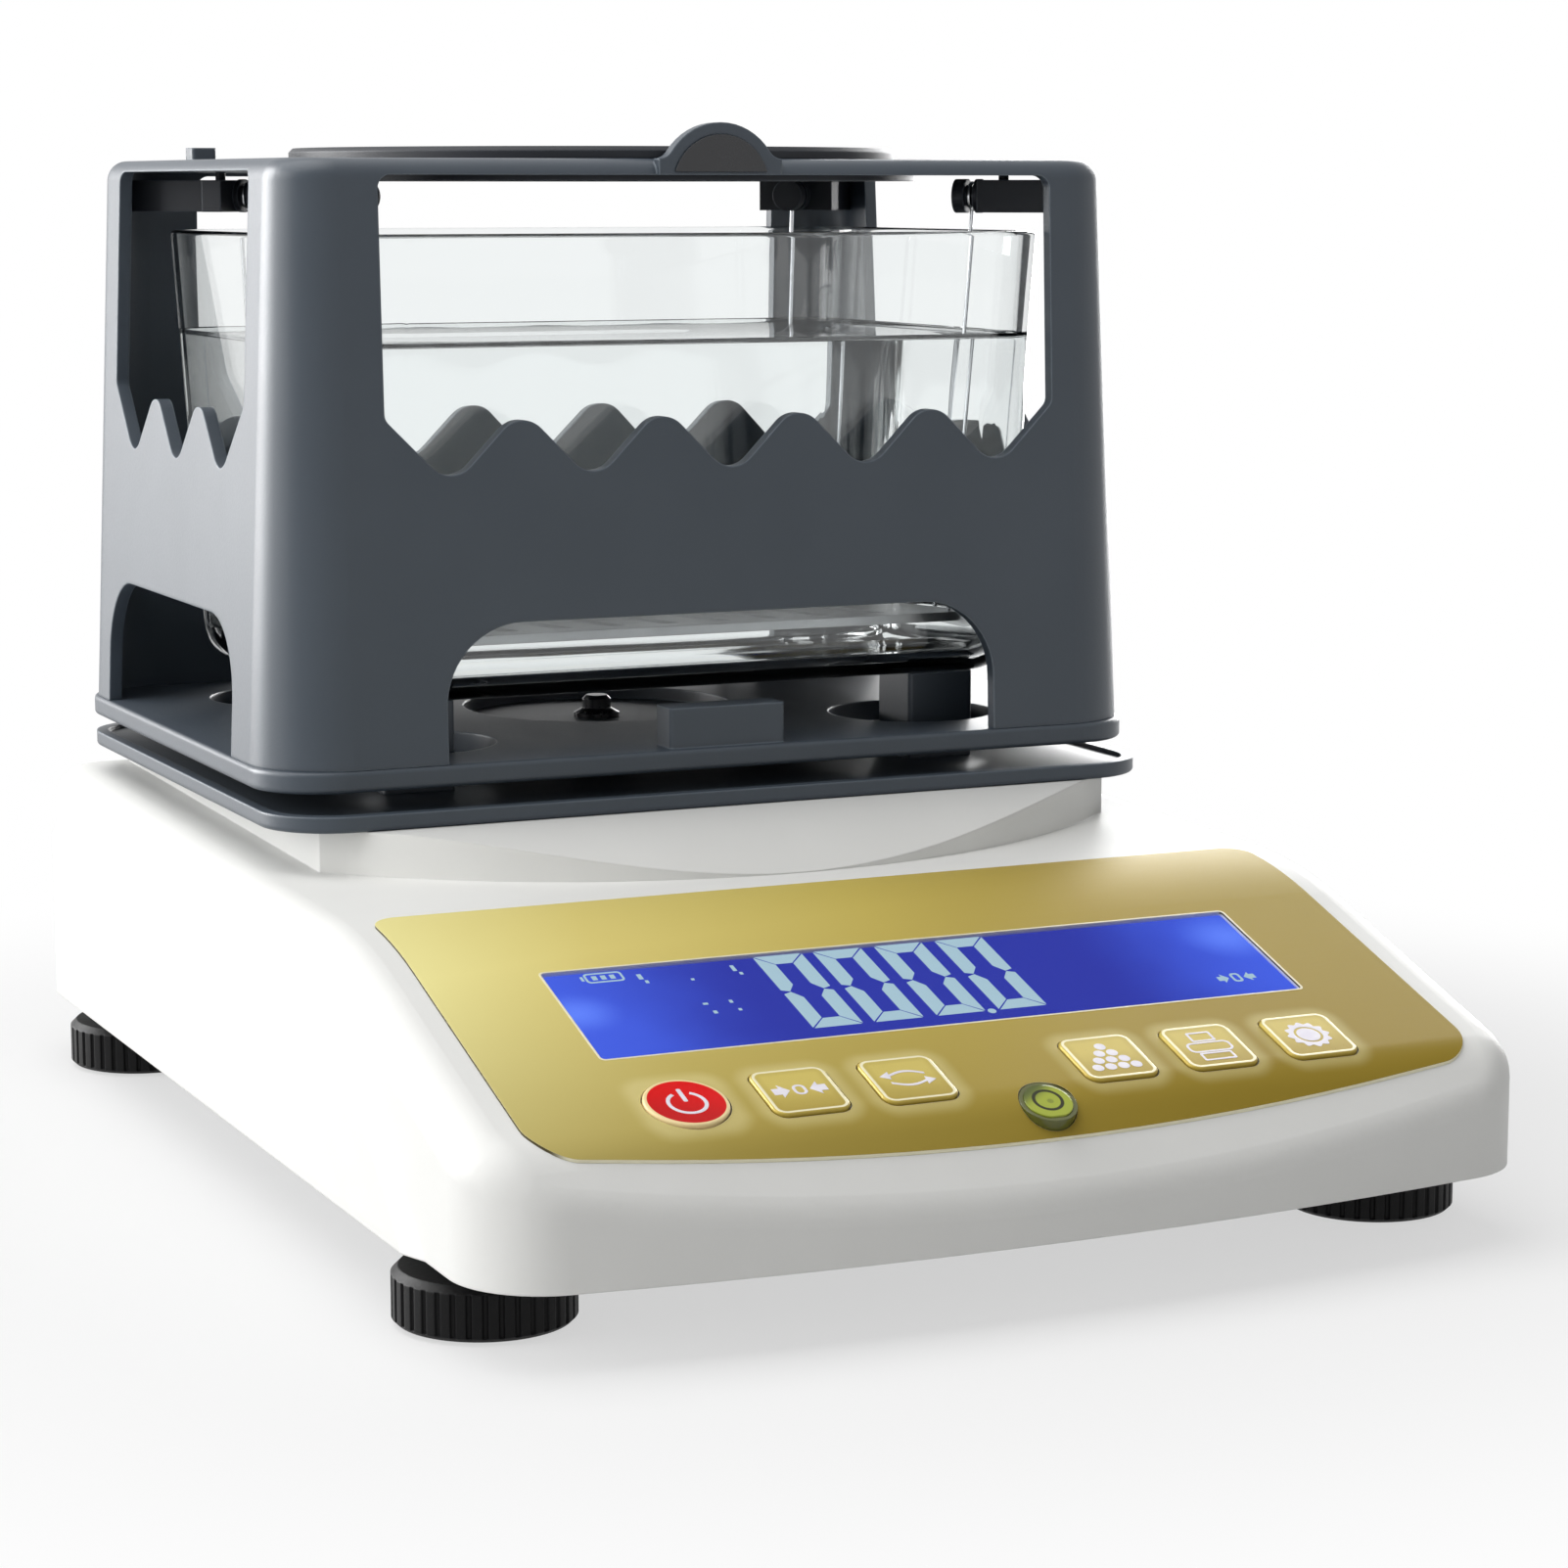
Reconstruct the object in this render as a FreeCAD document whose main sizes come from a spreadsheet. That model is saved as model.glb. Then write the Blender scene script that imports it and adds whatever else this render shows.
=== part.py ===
import FreeCAD, Part
import math
import os
import Sketcher

os.makedirs("parts", exist_ok=True)
doc = FreeCAD.newDocument("Densimeter")

# Lengths in millimetres, angles in degrees.
lengths = {
    # housing
    "housing_width": 193.0,
    "housing_front": -134.75,
    "housing_back": 134.75,
    "housing_floor": 13.2,
    "housing_bow": 600.0,
    "housing_corner": 16.0,
    "housing_back_corner": 11.0,
    "housing_wall": 3.0,
    "panel_wall": 2.5,
    "top_round": 7.0,
    "panel_slope": 18.0,
    "panel_top_y": -54.75,
    "panel_top_z": 56.4,
    "panel_curve_y": -119.25,
    "panel_curve_radius": 14.0,
    "front_slope": 48.0,
    "deck_back_z": 60.5,
    "deck_bend": 100.0,
    "neck_width": 161.0,
    "neck_tip": -35.5,
    "neck_radius": 115.0,
    "neck_back": 126.0,
    "neck_top": 65.4,
    "neck_roll": 47.0,
    "neck_roll_top": -8.6,
    "neck_roll_angle": 40.0,
    "neck_low": 43.2,
    "neck_room_half": 72.0,
    "neck_room_front": 8.0,
    "neck_room_back": 118.0,
    "stripe_front_y": -102.6,
    "stripe_bend_y": -77.0,
    "stripe_bend_z": 33.2,
    "stripe_mid_y": -44.0,
    "stripe_mid_z": 42.6,
    "stripe_top_y": 30.0,
    "stripe_top_z": 48.3,
    "stripe_back_y": 123.4,
    "stripe_back_z": 49.4,
    "skirt_depth": 2.0,
    "skirt_front_y": -96.9,
    "skirt_bend_y": -76.0,
    "skirt_bend_z": 31.0,
    "skirt_mid_y": -44.0,
    "skirt_mid_z": 41.8,
    "skirt_top_y": 30.0,
    "skirt_top_z": 47.7,
    "skirt_back_y": 121.4,
    "skirt_back_z": 46.7,
    # gold overlay
    "overlay_width": 172.0,
    "overlay_back": -45.25,
    "overlay_front": -128.4,
    "overlay_bow": 800.0,
    "overlay_corner": 8.0,
    "overlay_back_corner": 5.0,
    "overlay_thick": 0.4,
    # display
    "window_width": 130.8,
    "window_length": 28.5,
    "window_y": -86.4,
    "window_thick": 1.6,
    "window_gap": 0.1,
    "window_corner": 0.8,
    "screen_width": 142.0,
    "screen_length": 36.0,
    "screen_thick": 6.0,
    # keys
    "key_y": -114.85,
    "key_size": 13.4,
    "key_corner": 2.2,
    "key_round": 14.0,
    "key_proud": 0.45,
    "key_travel_room": 0.5,
    "key_flange": 1.3,
    "key_flange_thick": 1.0,
    "key_flange_gap": 0.65,
    "key_stem": 5.0,
    "key_stem_drop": 1.4,
    "key_edge": 0.25,
    "key_edge_round": 0.4,
    "key_outer_x": 57.3,
    "key_middle_x": 37.7,
    "key_inner_x": 18.5,
    "key_board_width": 150.0,
    "key_board_length": 20.0,
    "board_thick": 1.6,
    # bubble level
    "bubble_angle": 26.0,
    "bubble_x": 2.4,
    "bubble_y": -123.8,
    "bubble_radius": 4.9,
    "bubble_rim": 0.8,
    "bubble_depth": 8.0,
    "bubble_lens": 5.0,
    "bubble_gap": 0.1,
    "bubble_proud": 0.2,
    # feet
    "foot_x": 83.7,
    "foot_front": -94.4,
    "foot_back": 107.8,
    "foot_radius": 15.0,
    "foot_knob_low": 0.6,
    "foot_knob_high": 9.6,
    "foot_bevel": 1.2,
    "foot_edge": 0.7,
    "foot_recess": 11.9,
    "foot_recess_high": 2.9,
    "foot_hub_radius": 6.0,
    "foot_hub_high": 11.4,
    "foot_groove": 0.5,
    "foot_groove_count": 36.0,
    "foot_stud_radius": 3.0,
    "foot_stud_high": 30.0,
    "foot_pad_radius": 11.5,
    "foot_pad_thick": 2.6,
    "foot_pad_pin": 3.0,
    "foot_pad_pin_high": 4.6,
    "foot_pad_neck_gap": 0.3,
    "foot_pad_edge": 0.4,
    "stud_room": 0.6,
    "running_gap": 0.06,
    "insert_radius": 5.5,
    "insert_high": 24.0,
    # bottom cover
    "cover_thick": 2.5,
    "cover_gap": 0.3,
    "cover_boss": 7.0,
    "cover_screw_x": 88.0,
    "cover_screw_front": 60.0,
    "cover_screw_back": 70.0,
    "post_front_high": 52.0,
    "post_back_high": 58.0,
    "cover_post": 4.2,
    "screw_shank": 1.5,
    "screw_head": 3.0,
    "screw_head_thick": 1.8,
    "cover_screw_high": 24.0,
    # load cell
    "cell_left": -83.0,
    "cell_right": 14.0,
    "cell_depth": 22.0,
    "cell_low": 30.0,
    "cell_high": 50.0,
    "cell_hole": 6.5,
    "cell_hole_spread": 18.0,
    "cell_hole_x": -36.0,
    "cell_mount_right": -58.0,
    "cell_screw_front": 5.5,
    "cell_screw_x_a": -78.0,
    "cell_screw_x_b": -65.0,
    "cell_bolt_radius": 2.5,
    "cell_bolt_head": 4.5,
    "cell_bolt_head_thick": 3.0,
    "cell_bolt_deep": 12.0,
    "spindle_radius": 7.0,
    "spindle_foot_radius": 9.5,
    "spindle_foot_high": 5.0,
    "spindle_bore": 2.0,
    "spindle_hole": 12.0,
    "spindle_bore_deep": 9.0,
    "load_gap": 0.35,
    # plates
    "rack_y": 63.4,
    "rack_plate_width": 178.8,
    "rack_plate_depth": 135.0,
    "rack_plate_corner": 14.0,
    "rack_plate_low": 71.7,
    "rack_plate_high": 75.7,
    "plate_edge": 0.8,
    "dish_radius": 27.0,
    "dish_depth": 2.6,
    "thumb_flange": 4.6,
    "thumb_flange_thick": 0.9,
    "thumb_radius": 2.9,
    "thumb_high": 4.4,
    "port_x": 53.0,
    "port_y": 36.7,
    "port_radius": 16.5,
    "lug_width": 23.5,
    "lug_depth": 7.0,
    "lug_high": 83.3,
    "bridge_width": 179.0,
    "bridge_depth": 139.0,
    "bridge_y": 60.0,
    "bridge_high": 67.6,
    "bridge_lip": 2.4,
    "bridge_lip_high": 68.4,
    "post_width": 14.0,
    "post_depth": 14.0,
    "post_x": 54.5,
    "tank_floor": 84.6,
    # rack shell
    "shell_width": 177.8,
    "shell_depth": 134.2,
    "shell_corner": 15.0,
    "shell_wall": 2.6,
    "shell_top": 184.6,
    "shell_taper": 2.5,
    "shell_round": 4.0,
    "roof_thick": 2.2,
    "front_lip": 0.8,
    "roof_hole": 54.0,
    "arch_half_front": 55.9,
    "arch_half_side": 43.0,
    "arch_side_shift": 2.6,
    "arch_top": 101.0,
    "arch_round": 15.0,
    "notch_low": 125.9,
    "notch_round": 5.2,
    "notch_front": 27.72,
    "notch_side": 29.6,
    "window_half_front": 67.8,
    "window_half_back": 65.3,
    "window_shift": 1.5,
    "window_half_side": 43.9,
    "window_round": 2.5,
    # top of the rack
    "seat_radius": 64.0,
    "seat_gap": 0.4,
    "seat_hole": 50.0,
    "seat_thick": 1.8,
    "tray_radius": 60.0,
    "tray_thick": 2.3,
    "tray_dish": 54.0,
    "tray_dish_depth": 0.8,
    "tray_lip_radius": 53.6,
    "tray_lip_thick": 2.0,
    "tray_lip_deep": 1.9,
    "tab_radius": 11.9,
    "tab_thick": 2.6,
    "tab_centre": 179.3,
    "tab_fillet": 3.0,
    "tab_proud": 1.0,
    "badge_radius": 9.7,
    "badge_low": 182.2,
    "badge_thick": 1.2,
    "badge_proud": 0.3,
    "nub_x": 73.5,
    "nub_y": 86.5,
    "nub_size": 5.0,
    "nub_high": 187.0,
    # hooks, wires and the plate under water
    "arm_width": 7.2,
    "arm_low": 174.5,
    "arm_high": 180.8,
    "arm_plate_width": 16.4,
    "arm_plate_thick": 4.3,
    "arm_pin_radius": 1.0,
    "arm_pin_reach": 4.4,
    "arm_reach_front": 22.1,
    "arm_reach_back": 29.8,
    "knob_height": 177.7,
    "knob_front_x": 63.4,
    "knob_back_x": 60.2,
    "knob_y": 38.5,
    "knob_radius": 3.3,
    "knob_head": 2.4,
    "knob_neck": 1.8,
    "knob_collar": 1.1,
    "knob_neck_radius": 2.0,
    "wire_radius": 0.4,
    "wire_gap": 0.05,
    "wire_foot_x": 57.0,
    "wire_foot_y": 37.6,
    "wire_bead": 1.2,
    "wire_eye_gap": 0.3,
    "sink_plate_low": 95.0,
    "sink_plate_thick": 1.8,
    "sink_plate_width": 124.0,
    "sink_plate_depth": 84.0,
    "sink_corner": 8.0,
    "slot_width": 4.0,
    "slot_length": 62.0,
    "slot_corner": 1.9,
    "slot_pitch": 11.0,
    "slot_count": 9.0,
    # glass tank
    "tank_y": 60.0,
    "tank_width": 142.0,
    "tank_depth": 98.0,
    "tank_corner": 12.0,
    "tank_top": 171.0,
    "tank_taper": 3.6,
    "tank_wall": 2.6,
    "tank_base": 3.4,
    "tank_bottom_round": 7.0,
    "tank_rim_round": 0.9,
    # boards, battery and sockets
    "main_board_left": 24.0,
    "main_board_right": 83.0,
    "main_board_front": 5.0,
    "main_board_back": 100.0,
    "main_board_low": 24.0,
    "board_post_radius": 3.0,
    "battery_left": -30.0,
    "battery_right": 18.0,
    "battery_front": 76.0,
    "battery_back": 118.0,
    "battery_low": 15.7,
    "battery_high": 42.0,
    "inlet_x": 72.0,
    "inlet_z": 30.0,
    "inlet_radius": 5.5,
    "inlet_bore": 3.0,
    "inlet_pin": 0.9,
    "inlet_deep": 12.0,
    "serial_x": 40.0,
    "serial_width": 31.0,
    "serial_high": 12.6,
    "serial_shell_width": 17.0,
    "serial_shell_high": 8.4,
    "serial_deep": 11.0,
    "serial_wall": 0.6,
    "serial_mouth_deep": 5.5,
    "socket_set_back": 1.2,
    "socket_gap": 0.2,
    # cutting overrun, and how close counts as the same place
    "overrun": 3.0,
    "nearness": 0.01,
    "rim_share": 0.9,
}

sheet = doc.addObject("Spreadsheet::Sheet", "Sizes")
row = 1
for name, amount in lengths.items():
    sheet.set("A%d" % row, name)
    sheet.set("B%d" % row, "%r" % amount)
    sheet.setAlias("B%d" % row, name)
    row += 1
doc.recompute()


# A number together with the sheet formula that gives it.
class Size:
    def __init__(self, value, text):
        self.value = float(value)
        self.text = text

    def __add__(self, other):
        other = asSize(other)
        return Size(self.value + other.value, "(%s + %s)" % (self.text, other.text))

    def __radd__(self, other):
        return asSize(other) + self

    def __sub__(self, other):
        other = asSize(other)
        return Size(self.value - other.value, "(%s - %s)" % (self.text, other.text))

    def __rsub__(self, other):
        return asSize(other) - self

    def __mul__(self, other):
        other = asSize(other)
        return Size(self.value * other.value, "(%s * %s)" % (self.text, other.text))

    def __rmul__(self, other):
        return asSize(other) * self

    def __truediv__(self, other):
        other = asSize(other)
        return Size(self.value / other.value, "(%s / %s)" % (self.text, other.text))

    def __neg__(self):
        return Size(-self.value, "(0 - %s)" % self.text)


def asSize(item):
    if isinstance(item, Size):
        return item
    return Size(item, "%r" % item)


def size(name):
    return Size(lengths[name], "Sizes.%s" % name)


zero = asSize(0)


def bind(item, prop, amount):
    item.setExpression(prop, asSize(amount).text)


def place(item, where):
    where = [asSize(part) for part in where]
    item.Placement = FreeCAD.Placement(
        FreeCAD.Vector(where[0].value, where[1].value, where[2].value), FreeCAD.Rotation())
    bind(item, "Placement.Base.x", where[0])
    bind(item, "Placement.Base.y", where[1])
    bind(item, "Placement.Base.z", where[2])


# Shapes drawn flat on the sloping panel are tilted about the width axis.
def tilt(item, where, angle):
    where = [asSize(part) for part in where]
    turn = FreeCAD.Rotation(FreeCAD.Vector(1, 0, 0), angle.value)
    item.Placement = FreeCAD.Placement(
        FreeCAD.Vector(where[0].value, where[1].value, where[2].value), turn)
    bind(item, "Placement.Base.x", where[0])
    bind(item, "Placement.Base.y", where[1])
    bind(item, "Placement.Base.z", where[2])
    bind(item, "Placement.Rotation.Angle", angle)


def newBody(name):
    body = doc.addObject("PartDesign::Body", name)
    body.Label = name
    return body


def newSketch(body, name, role, offset):
    sketch = body.newObject("Sketcher::SketchObject", name)
    for plane in body.Origin.OriginFeatures:
        if plane.Role == role:
            sketch.AttachmentSupport = (plane, [""])
    sketch.MapMode = "FlatFace"
    offset = asSize(offset)
    sketch.AttachmentOffset = FreeCAD.Placement(
        FreeCAD.Vector(0, 0, offset.value), FreeCAD.Rotation())
    bind(sketch, "AttachmentOffset.Base.z", offset)
    return sketch


def fix(sketch, kind, first, spot, amount):
    amount = asSize(amount)
    label = "%s%d_%d" % (kind, first, spot)
    placeInList = sketch.addConstraint(
        Sketcher.Constraint(kind, -1, 1, first, spot, amount.value))
    sketch.renameConstraint(placeInList, label)
    sketch.setExpression("Constraints." + label, amount.text)


def fixRadius(sketch, which, amount):
    amount = asSize(amount)
    label = "Radius%d" % which
    placeInList = sketch.addConstraint(Sketcher.Constraint("Radius", which, amount.value))
    sketch.renameConstraint(placeInList, label)
    sketch.setExpression("Constraints." + label, amount.text)


def drawRound(sketch, middle, width, depth, corner):
    cx, cy = asSize(middle[0]), asSize(middle[1])
    x0, x1 = (cx - width / 2), (cx + width / 2)
    y0, y1 = (cy - depth / 2), (cy + depth / 2)
    a, b, c, d, r = x0.value, x1.value, y0.value, y1.value, asSize(corner).value

    def at(x, y):
        return FreeCAD.Vector(x, y, 0)

    def bend(x, y, start):
        circle = Part.Circle(at(x, y), FreeCAD.Vector(0, 0, 1), r)
        return Part.ArcOfCircle(circle, math.radians(start), math.radians(start + 90))

    sketch.addGeometry(Part.LineSegment(at(a + r, c), at(b - r, c)))
    sketch.addGeometry(bend(b - r, c + r, -90))
    sketch.addGeometry(Part.LineSegment(at(b, c + r), at(b, d - r)))
    sketch.addGeometry(bend(b - r, d - r, 0))
    sketch.addGeometry(Part.LineSegment(at(b - r, d), at(a + r, d)))
    sketch.addGeometry(bend(a + r, d - r, 90))
    sketch.addGeometry(Part.LineSegment(at(a, d - r), at(a, c + r)))
    sketch.addGeometry(bend(a + r, c + r, 180))
    for k in range(8):
        sketch.addConstraint(Sketcher.Constraint("Tangent", k, 2, (k + 1) % 8, 1))
    sketch.addConstraint(Sketcher.Constraint("Horizontal", 0))
    sketch.addConstraint(Sketcher.Constraint("Vertical", 2))
    sketch.addConstraint(Sketcher.Constraint("Horizontal", 4))
    sketch.addConstraint(Sketcher.Constraint("Vertical", 6))
    for k in (3, 5, 7):
        sketch.addConstraint(Sketcher.Constraint("Equal", 1, k))
    fixRadius(sketch, 1, corner)
    fix(sketch, "DistanceY", 0, 1, y0)
    fix(sketch, "DistanceX", 2, 1, x1)
    fix(sketch, "DistanceY", 4, 1, y1)
    fix(sketch, "DistanceX", 6, 1, x0)


def drawCircle(sketch, middle, radius):
    cx, cy, radius = asSize(middle[0]), asSize(middle[1]), asSize(radius)
    which = sketch.addGeometry(Part.Circle(
        FreeCAD.Vector(cx.value, cy.value, 0), FreeCAD.Vector(0, 0, 1), radius.value))
    fixRadius(sketch, which, radius)
    fix(sketch, "DistanceX", which, 3, cx)
    fix(sketch, "DistanceY", which, 3, cy)


def drawPolygon(sketch, points):
    points = [(asSize(p[0]), asSize(p[1])) for p in points]
    first = len(sketch.Geometry)
    count = len(points)
    for k in range(count):
        here, after = points[k], points[(k + 1) % count]
        sketch.addGeometry(Part.LineSegment(
            FreeCAD.Vector(here[0].value, here[1].value, 0),
            FreeCAD.Vector(after[0].value, after[1].value, 0)))
    for k in range(count):
        sketch.addConstraint(Sketcher.Constraint(
            "Coincident", first + k, 2, first + (k + 1) % count, 1))
    for k in range(count):
        fix(sketch, "DistanceX", first + k, 1, points[k][0])
        fix(sketch, "DistanceY", first + k, 1, points[k][1])


# Lines and arcs through given points; an arc is a triple of points.
def drawPath(sketch, pieces):
    for piece in pieces:
        spots = [FreeCAD.Vector(p[0], p[1], 0) for p in piece]
        if len(spots) == 2:
            sketch.addGeometry(Part.LineSegment(spots[0], spots[1]))
        else:
            sketch.addGeometry(Part.Arc(spots[0], spots[1], spots[2]))
    for k in range(len(pieces)):
        sketch.addConstraint(Sketcher.Constraint("Block", k))


def pad(body, sketch, height, taper=None):
    item = body.newObject("PartDesign::Pad", "Pad")
    item.Profile = sketch
    item.Length = asSize(height).value
    bind(item, "Length", height)
    if taper is not None:
        item.TaperAngle = asSize(taper).value
        bind(item, "TaperAngle", taper)
    body.Tip = item
    doc.recompute()
    return item


def pocket(body, sketch, height, taper=None):
    before = body.Tip.Shape.Volume
    item = body.newObject("PartDesign::Pocket", "Pocket")
    item.Profile = sketch
    item.Length = asSize(height).value
    bind(item, "Length", height)
    if taper is not None:
        item.TaperAngle = asSize(taper).value
        bind(item, "TaperAngle", taper)
    body.Tip = item
    doc.recompute()
    if not item.Shape.Volume < before:
        raise ValueError("pocket removed nothing in " + body.Label)
    return item


def edgeNames(shape, wanted):
    return ["Edge%d" % (k + 1) for k, edge in enumerate(shape.Edges) if wanted(edge)]


def fillet(body, wanted, radius):
    before = body.Tip
    names = edgeNames(before.Shape, wanted)
    if not names:
        raise ValueError("no edge to round in " + body.Label)
    item = body.newObject("PartDesign::Fillet", "Fillet")
    item.Base = (before, names)
    item.Radius = asSize(radius).value
    bind(item, "Radius", radius)
    body.Tip = item
    doc.recompute()
    return item


def chamfer(body, wanted, reach):
    before = body.Tip
    names = edgeNames(before.Shape, wanted)
    if not names:
        raise ValueError("no edge to bevel in " + body.Label)
    item = body.newObject("PartDesign::Chamfer", "Chamfer")
    item.Base = (before, names)
    item.Size = asSize(reach).value
    bind(item, "Size", reach)
    body.Tip = item
    doc.recompute()
    return item


def roundPlate(name, middle, width, depth, corner, low, height, taper=None):
    body = newBody(name)
    sketch = newSketch(body, "Outline", "XY_Plane", low)
    drawRound(sketch, middle, width, depth, corner)
    pad(body, sketch, height, taper)
    return body


def box(name, low, high):
    low = [asSize(part) for part in low]
    high = [asSize(part) for part in high]
    item = doc.addObject("Part::Box", name)
    item.Label = name
    bind(item, "Length", high[0] - low[0])
    bind(item, "Width", high[1] - low[1])
    bind(item, "Height", high[2] - low[2])
    place(item, low)
    return item


def cylinder(name, foot, radius, height):
    item = doc.addObject("Part::Cylinder", name)
    item.Label = name
    bind(item, "Radius", radius)
    bind(item, "Height", height)
    place(item, foot)
    return item


# Cylinder whose axis points along the width or the depth.
def lyingCylinder(name, foot, radius, height, axis):
    item = cylinder(name, foot, radius, height)
    turn = FreeCAD.Rotation(FreeCAD.Vector(0, 0, 1), FreeCAD.Vector(*axis))
    item.Placement = FreeCAD.Placement(item.Placement.Base, turn)
    return item


def cut(name, base, tool):
    item = doc.addObject("Part::Cut", name)
    item.Label = name
    item.Base = base
    item.Tool = tool
    return item


def common(name, base, tool):
    item = doc.addObject("Part::Common", name)
    item.Label = name
    item.Base = base
    item.Tool = tool
    return item


def fuse(name, items):
    item = doc.addObject("Part::MultiFuse", name)
    item.Label = name
    item.Shapes = items
    item.Refine = True
    return item


def group(name, items):
    item = doc.addObject("Part::Compound", name)
    item.Label = name
    item.Links = items
    return item


def turned(name, points):
    body = newBody(name)
    sketch = newSketch(body, "Outline", "XZ_Plane", zero)
    drawPolygon(sketch, points)
    item = body.newObject("PartDesign::Revolution", "Turn")
    item.Profile = sketch
    item.ReferenceAxis = (sketch, ["V_Axis"])
    item.Angle = 360
    body.Tip = item
    doc.recompute()
    return body


made = []


def keep(item):
    made.append(item)
    return item


# Heights of the sloping panel, worked out from its top edge.
slope = size("panel_slope")
rise = Size(math.tan(math.radians(slope.value)), "tan(Sizes.panel_slope * 1 deg)")
over = size("overrun")
near = lengths["nearness"]


# Point of the sloping panel at a distance along the depth.
def onSlope(name):
    y = size(name)
    return (zero, y, size("panel_top_z") + (y - size("panel_top_y")) * rise)


# Lengthwise section of the top surface, lowered by the given amount.
def topPath(lowered):
    front = lengths["housing_front"] - lengths["overrun"]
    back = lengths["housing_back"] + lengths["overrun"]
    steep = math.radians(lengths["front_slope"])
    mild = math.radians(lengths["panel_slope"])
    curve = lengths["panel_curve_radius"]
    curveTop = onSlope("panel_curve_y")
    centre = (curveTop[1].value + curve * math.sin(mild), curveTop[2].value - curve * math.cos(mild))
    radius = curve - lowered

    def onBend(turn):
        return (centre[0] - radius * math.sin(turn), centre[1] + radius * math.cos(turn))

    bendLow, bendMiddle, bendTop = onBend(steep), onBend((steep + mild) / 2), onBend(mild)
    start = (front, bendLow[1] - (bendLow[0] - front) * math.tan(steep))
    deckTurn = math.atan((lengths["deck_back_z"] - lengths["panel_top_z"])
                         / (lengths["housing_back"] - lengths["panel_top_y"]))
    tip = (mild + deckTurn) / 2
    half = (mild - deckTurn) / 2
    drop = lowered / math.cos(half)
    top = (lengths["panel_top_y"] + drop * math.sin(tip),
           lengths["panel_top_z"] - drop * math.cos(tip))
    bend = lengths["deck_bend"] - lowered
    reach = bend * math.tan(half)
    sag = bend / math.cos(half) - bend
    before = (top[0] - reach * math.cos(mild), top[1] - reach * math.sin(mild))
    crest = (top[0] + sag * math.sin(tip), top[1] - sag * math.cos(tip))
    after = (top[0] + reach * math.cos(deckTurn), top[1] + reach * math.sin(deckTurn))
    end = (back, top[1] + (back - top[0]) * math.tan(deckTurn))
    return [(start, bendLow), (bendLow, bendMiddle, bendTop), (bendTop, before),
            (before, crest, after), (after, end)]


# Outline of the housing seen from above, moved inwards by the given amount.
def planPath(inset):
    half = lengths["housing_width"] / 2 - inset
    bow = lengths["housing_bow"] - inset
    corner = lengths["housing_corner"] - inset
    rearCorner = lengths["housing_back_corner"] - inset
    bowY = lengths["housing_front"] + lengths["housing_bow"]
    back = lengths["housing_back"] - inset
    sideX = half - corner
    rearX = half - rearCorner
    cornerY = bowY - math.sqrt((bow - corner) ** 2 - sideX ** 2)
    lean = math.atan2(sideX, bowY - cornerY)
    meet = (bow * math.sin(lean), bowY - bow * math.cos(lean))
    mid = (lean + math.pi / 2) / 2
    swing = (sideX + corner * math.sin(mid), cornerY - corner * math.cos(mid))
    diagonal = rearCorner * math.sqrt(0.5)
    right = [
        (meet, swing, (half, cornerY)),
        ((half, cornerY), (half, back - rearCorner)),
        ((half, back - rearCorner), (rearX + diagonal, back - rearCorner + diagonal),
         (rearX, back)),
    ]

    def flip(spot):
        return (-spot[0], spot[1])

    left = [tuple(flip(spot) for spot in reversed(piece)) for piece in reversed(right)]
    front = [(flip(meet), (0.0, lengths["housing_front"] + inset), meet)]
    rear = [((rearX, back), (-rearX, back))]
    return front + right + rear + left


def planBody(name, inset, low, height):
    body = newBody(name)
    sketch = newSketch(body, "Outline", "XY_Plane", low)
    drawPath(sketch, planPath(inset))
    pad(body, sketch, height)
    return body


# Removes everything above a lengthwise section from a body.
def trimTop(body, lowered, half, ceiling):
    path = topPath(lowered)
    start, end = path[0][0], path[-1][-1]
    sketch = newSketch(body, "Section", "YZ_Plane", half)
    drawPath(sketch, path + [
        (end, (end[0], ceiling)), ((end[0], ceiling), (start[0], ceiling)),
        ((start[0], ceiling), start)])
    pocket(body, sketch, half * 2)


halfWidth = size("housing_width") / 2
floorZ = size("housing_floor")
ceiling = lengths["deck_back_z"] + 2 * lengths["overrun"]
deckRoom = size("deck_back_z") + over - floorZ

outer = planBody("housing_outer", 0.0, floorZ, deckRoom)
trimTop(outer, 0.0, halfWidth + over, ceiling)


def isRim(edge):
    spots = [edge.valueAt(edge.FirstParameter + (edge.LastParameter - edge.FirstParameter) * k / 4.0)
             for k in range(5)]
    if min(p.z for p in spots) < lengths["housing_floor"] + lengths["overrun"]:
        return False
    span = max(p.x for p in spots) - min(p.x for p in spots)
    wide = span > lengths["housing_width"] * lengths["rim_share"]
    across = wide and max(p.y for p in spots) - min(p.y for p in spots) < near
    upright = max(p.z for p in spots) - min(p.z for p in spots) > lengths["overrun"]
    still = max(abs(p.x - spots[0].x) + abs(p.y - spots[0].y) for p in spots) < near
    return not across and not (upright and still)


fillet(outer, isRim, size("top_round"))



# Outline of the raised skirt on one side, drawn upright at the given width.
def skirtOutline(kind, x):
    def at(y, z):
        return FreeCAD.Vector(x, y, z)

    start = at(lengths[kind + "_front_y"], lengths["housing_floor"])
    bend = at(lengths[kind + "_bend_y"], lengths[kind + "_bend_z"])
    middle = at(lengths[kind + "_mid_y"], lengths[kind + "_mid_z"])
    top = at(lengths[kind + "_top_y"], lengths[kind + "_top_z"])
    rearTop = at(lengths[kind + "_back_y"], lengths[kind + "_back_z"])
    rearLow = at(rearTop.y, start.z)
    return Part.Wire([
        Part.Arc(start, bend, middle).toShape(), Part.Arc(middle, top, rearTop).toShape(),
        Part.makeLine(rearTop, rearLow), Part.makeLine(rearLow, start)])


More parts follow.
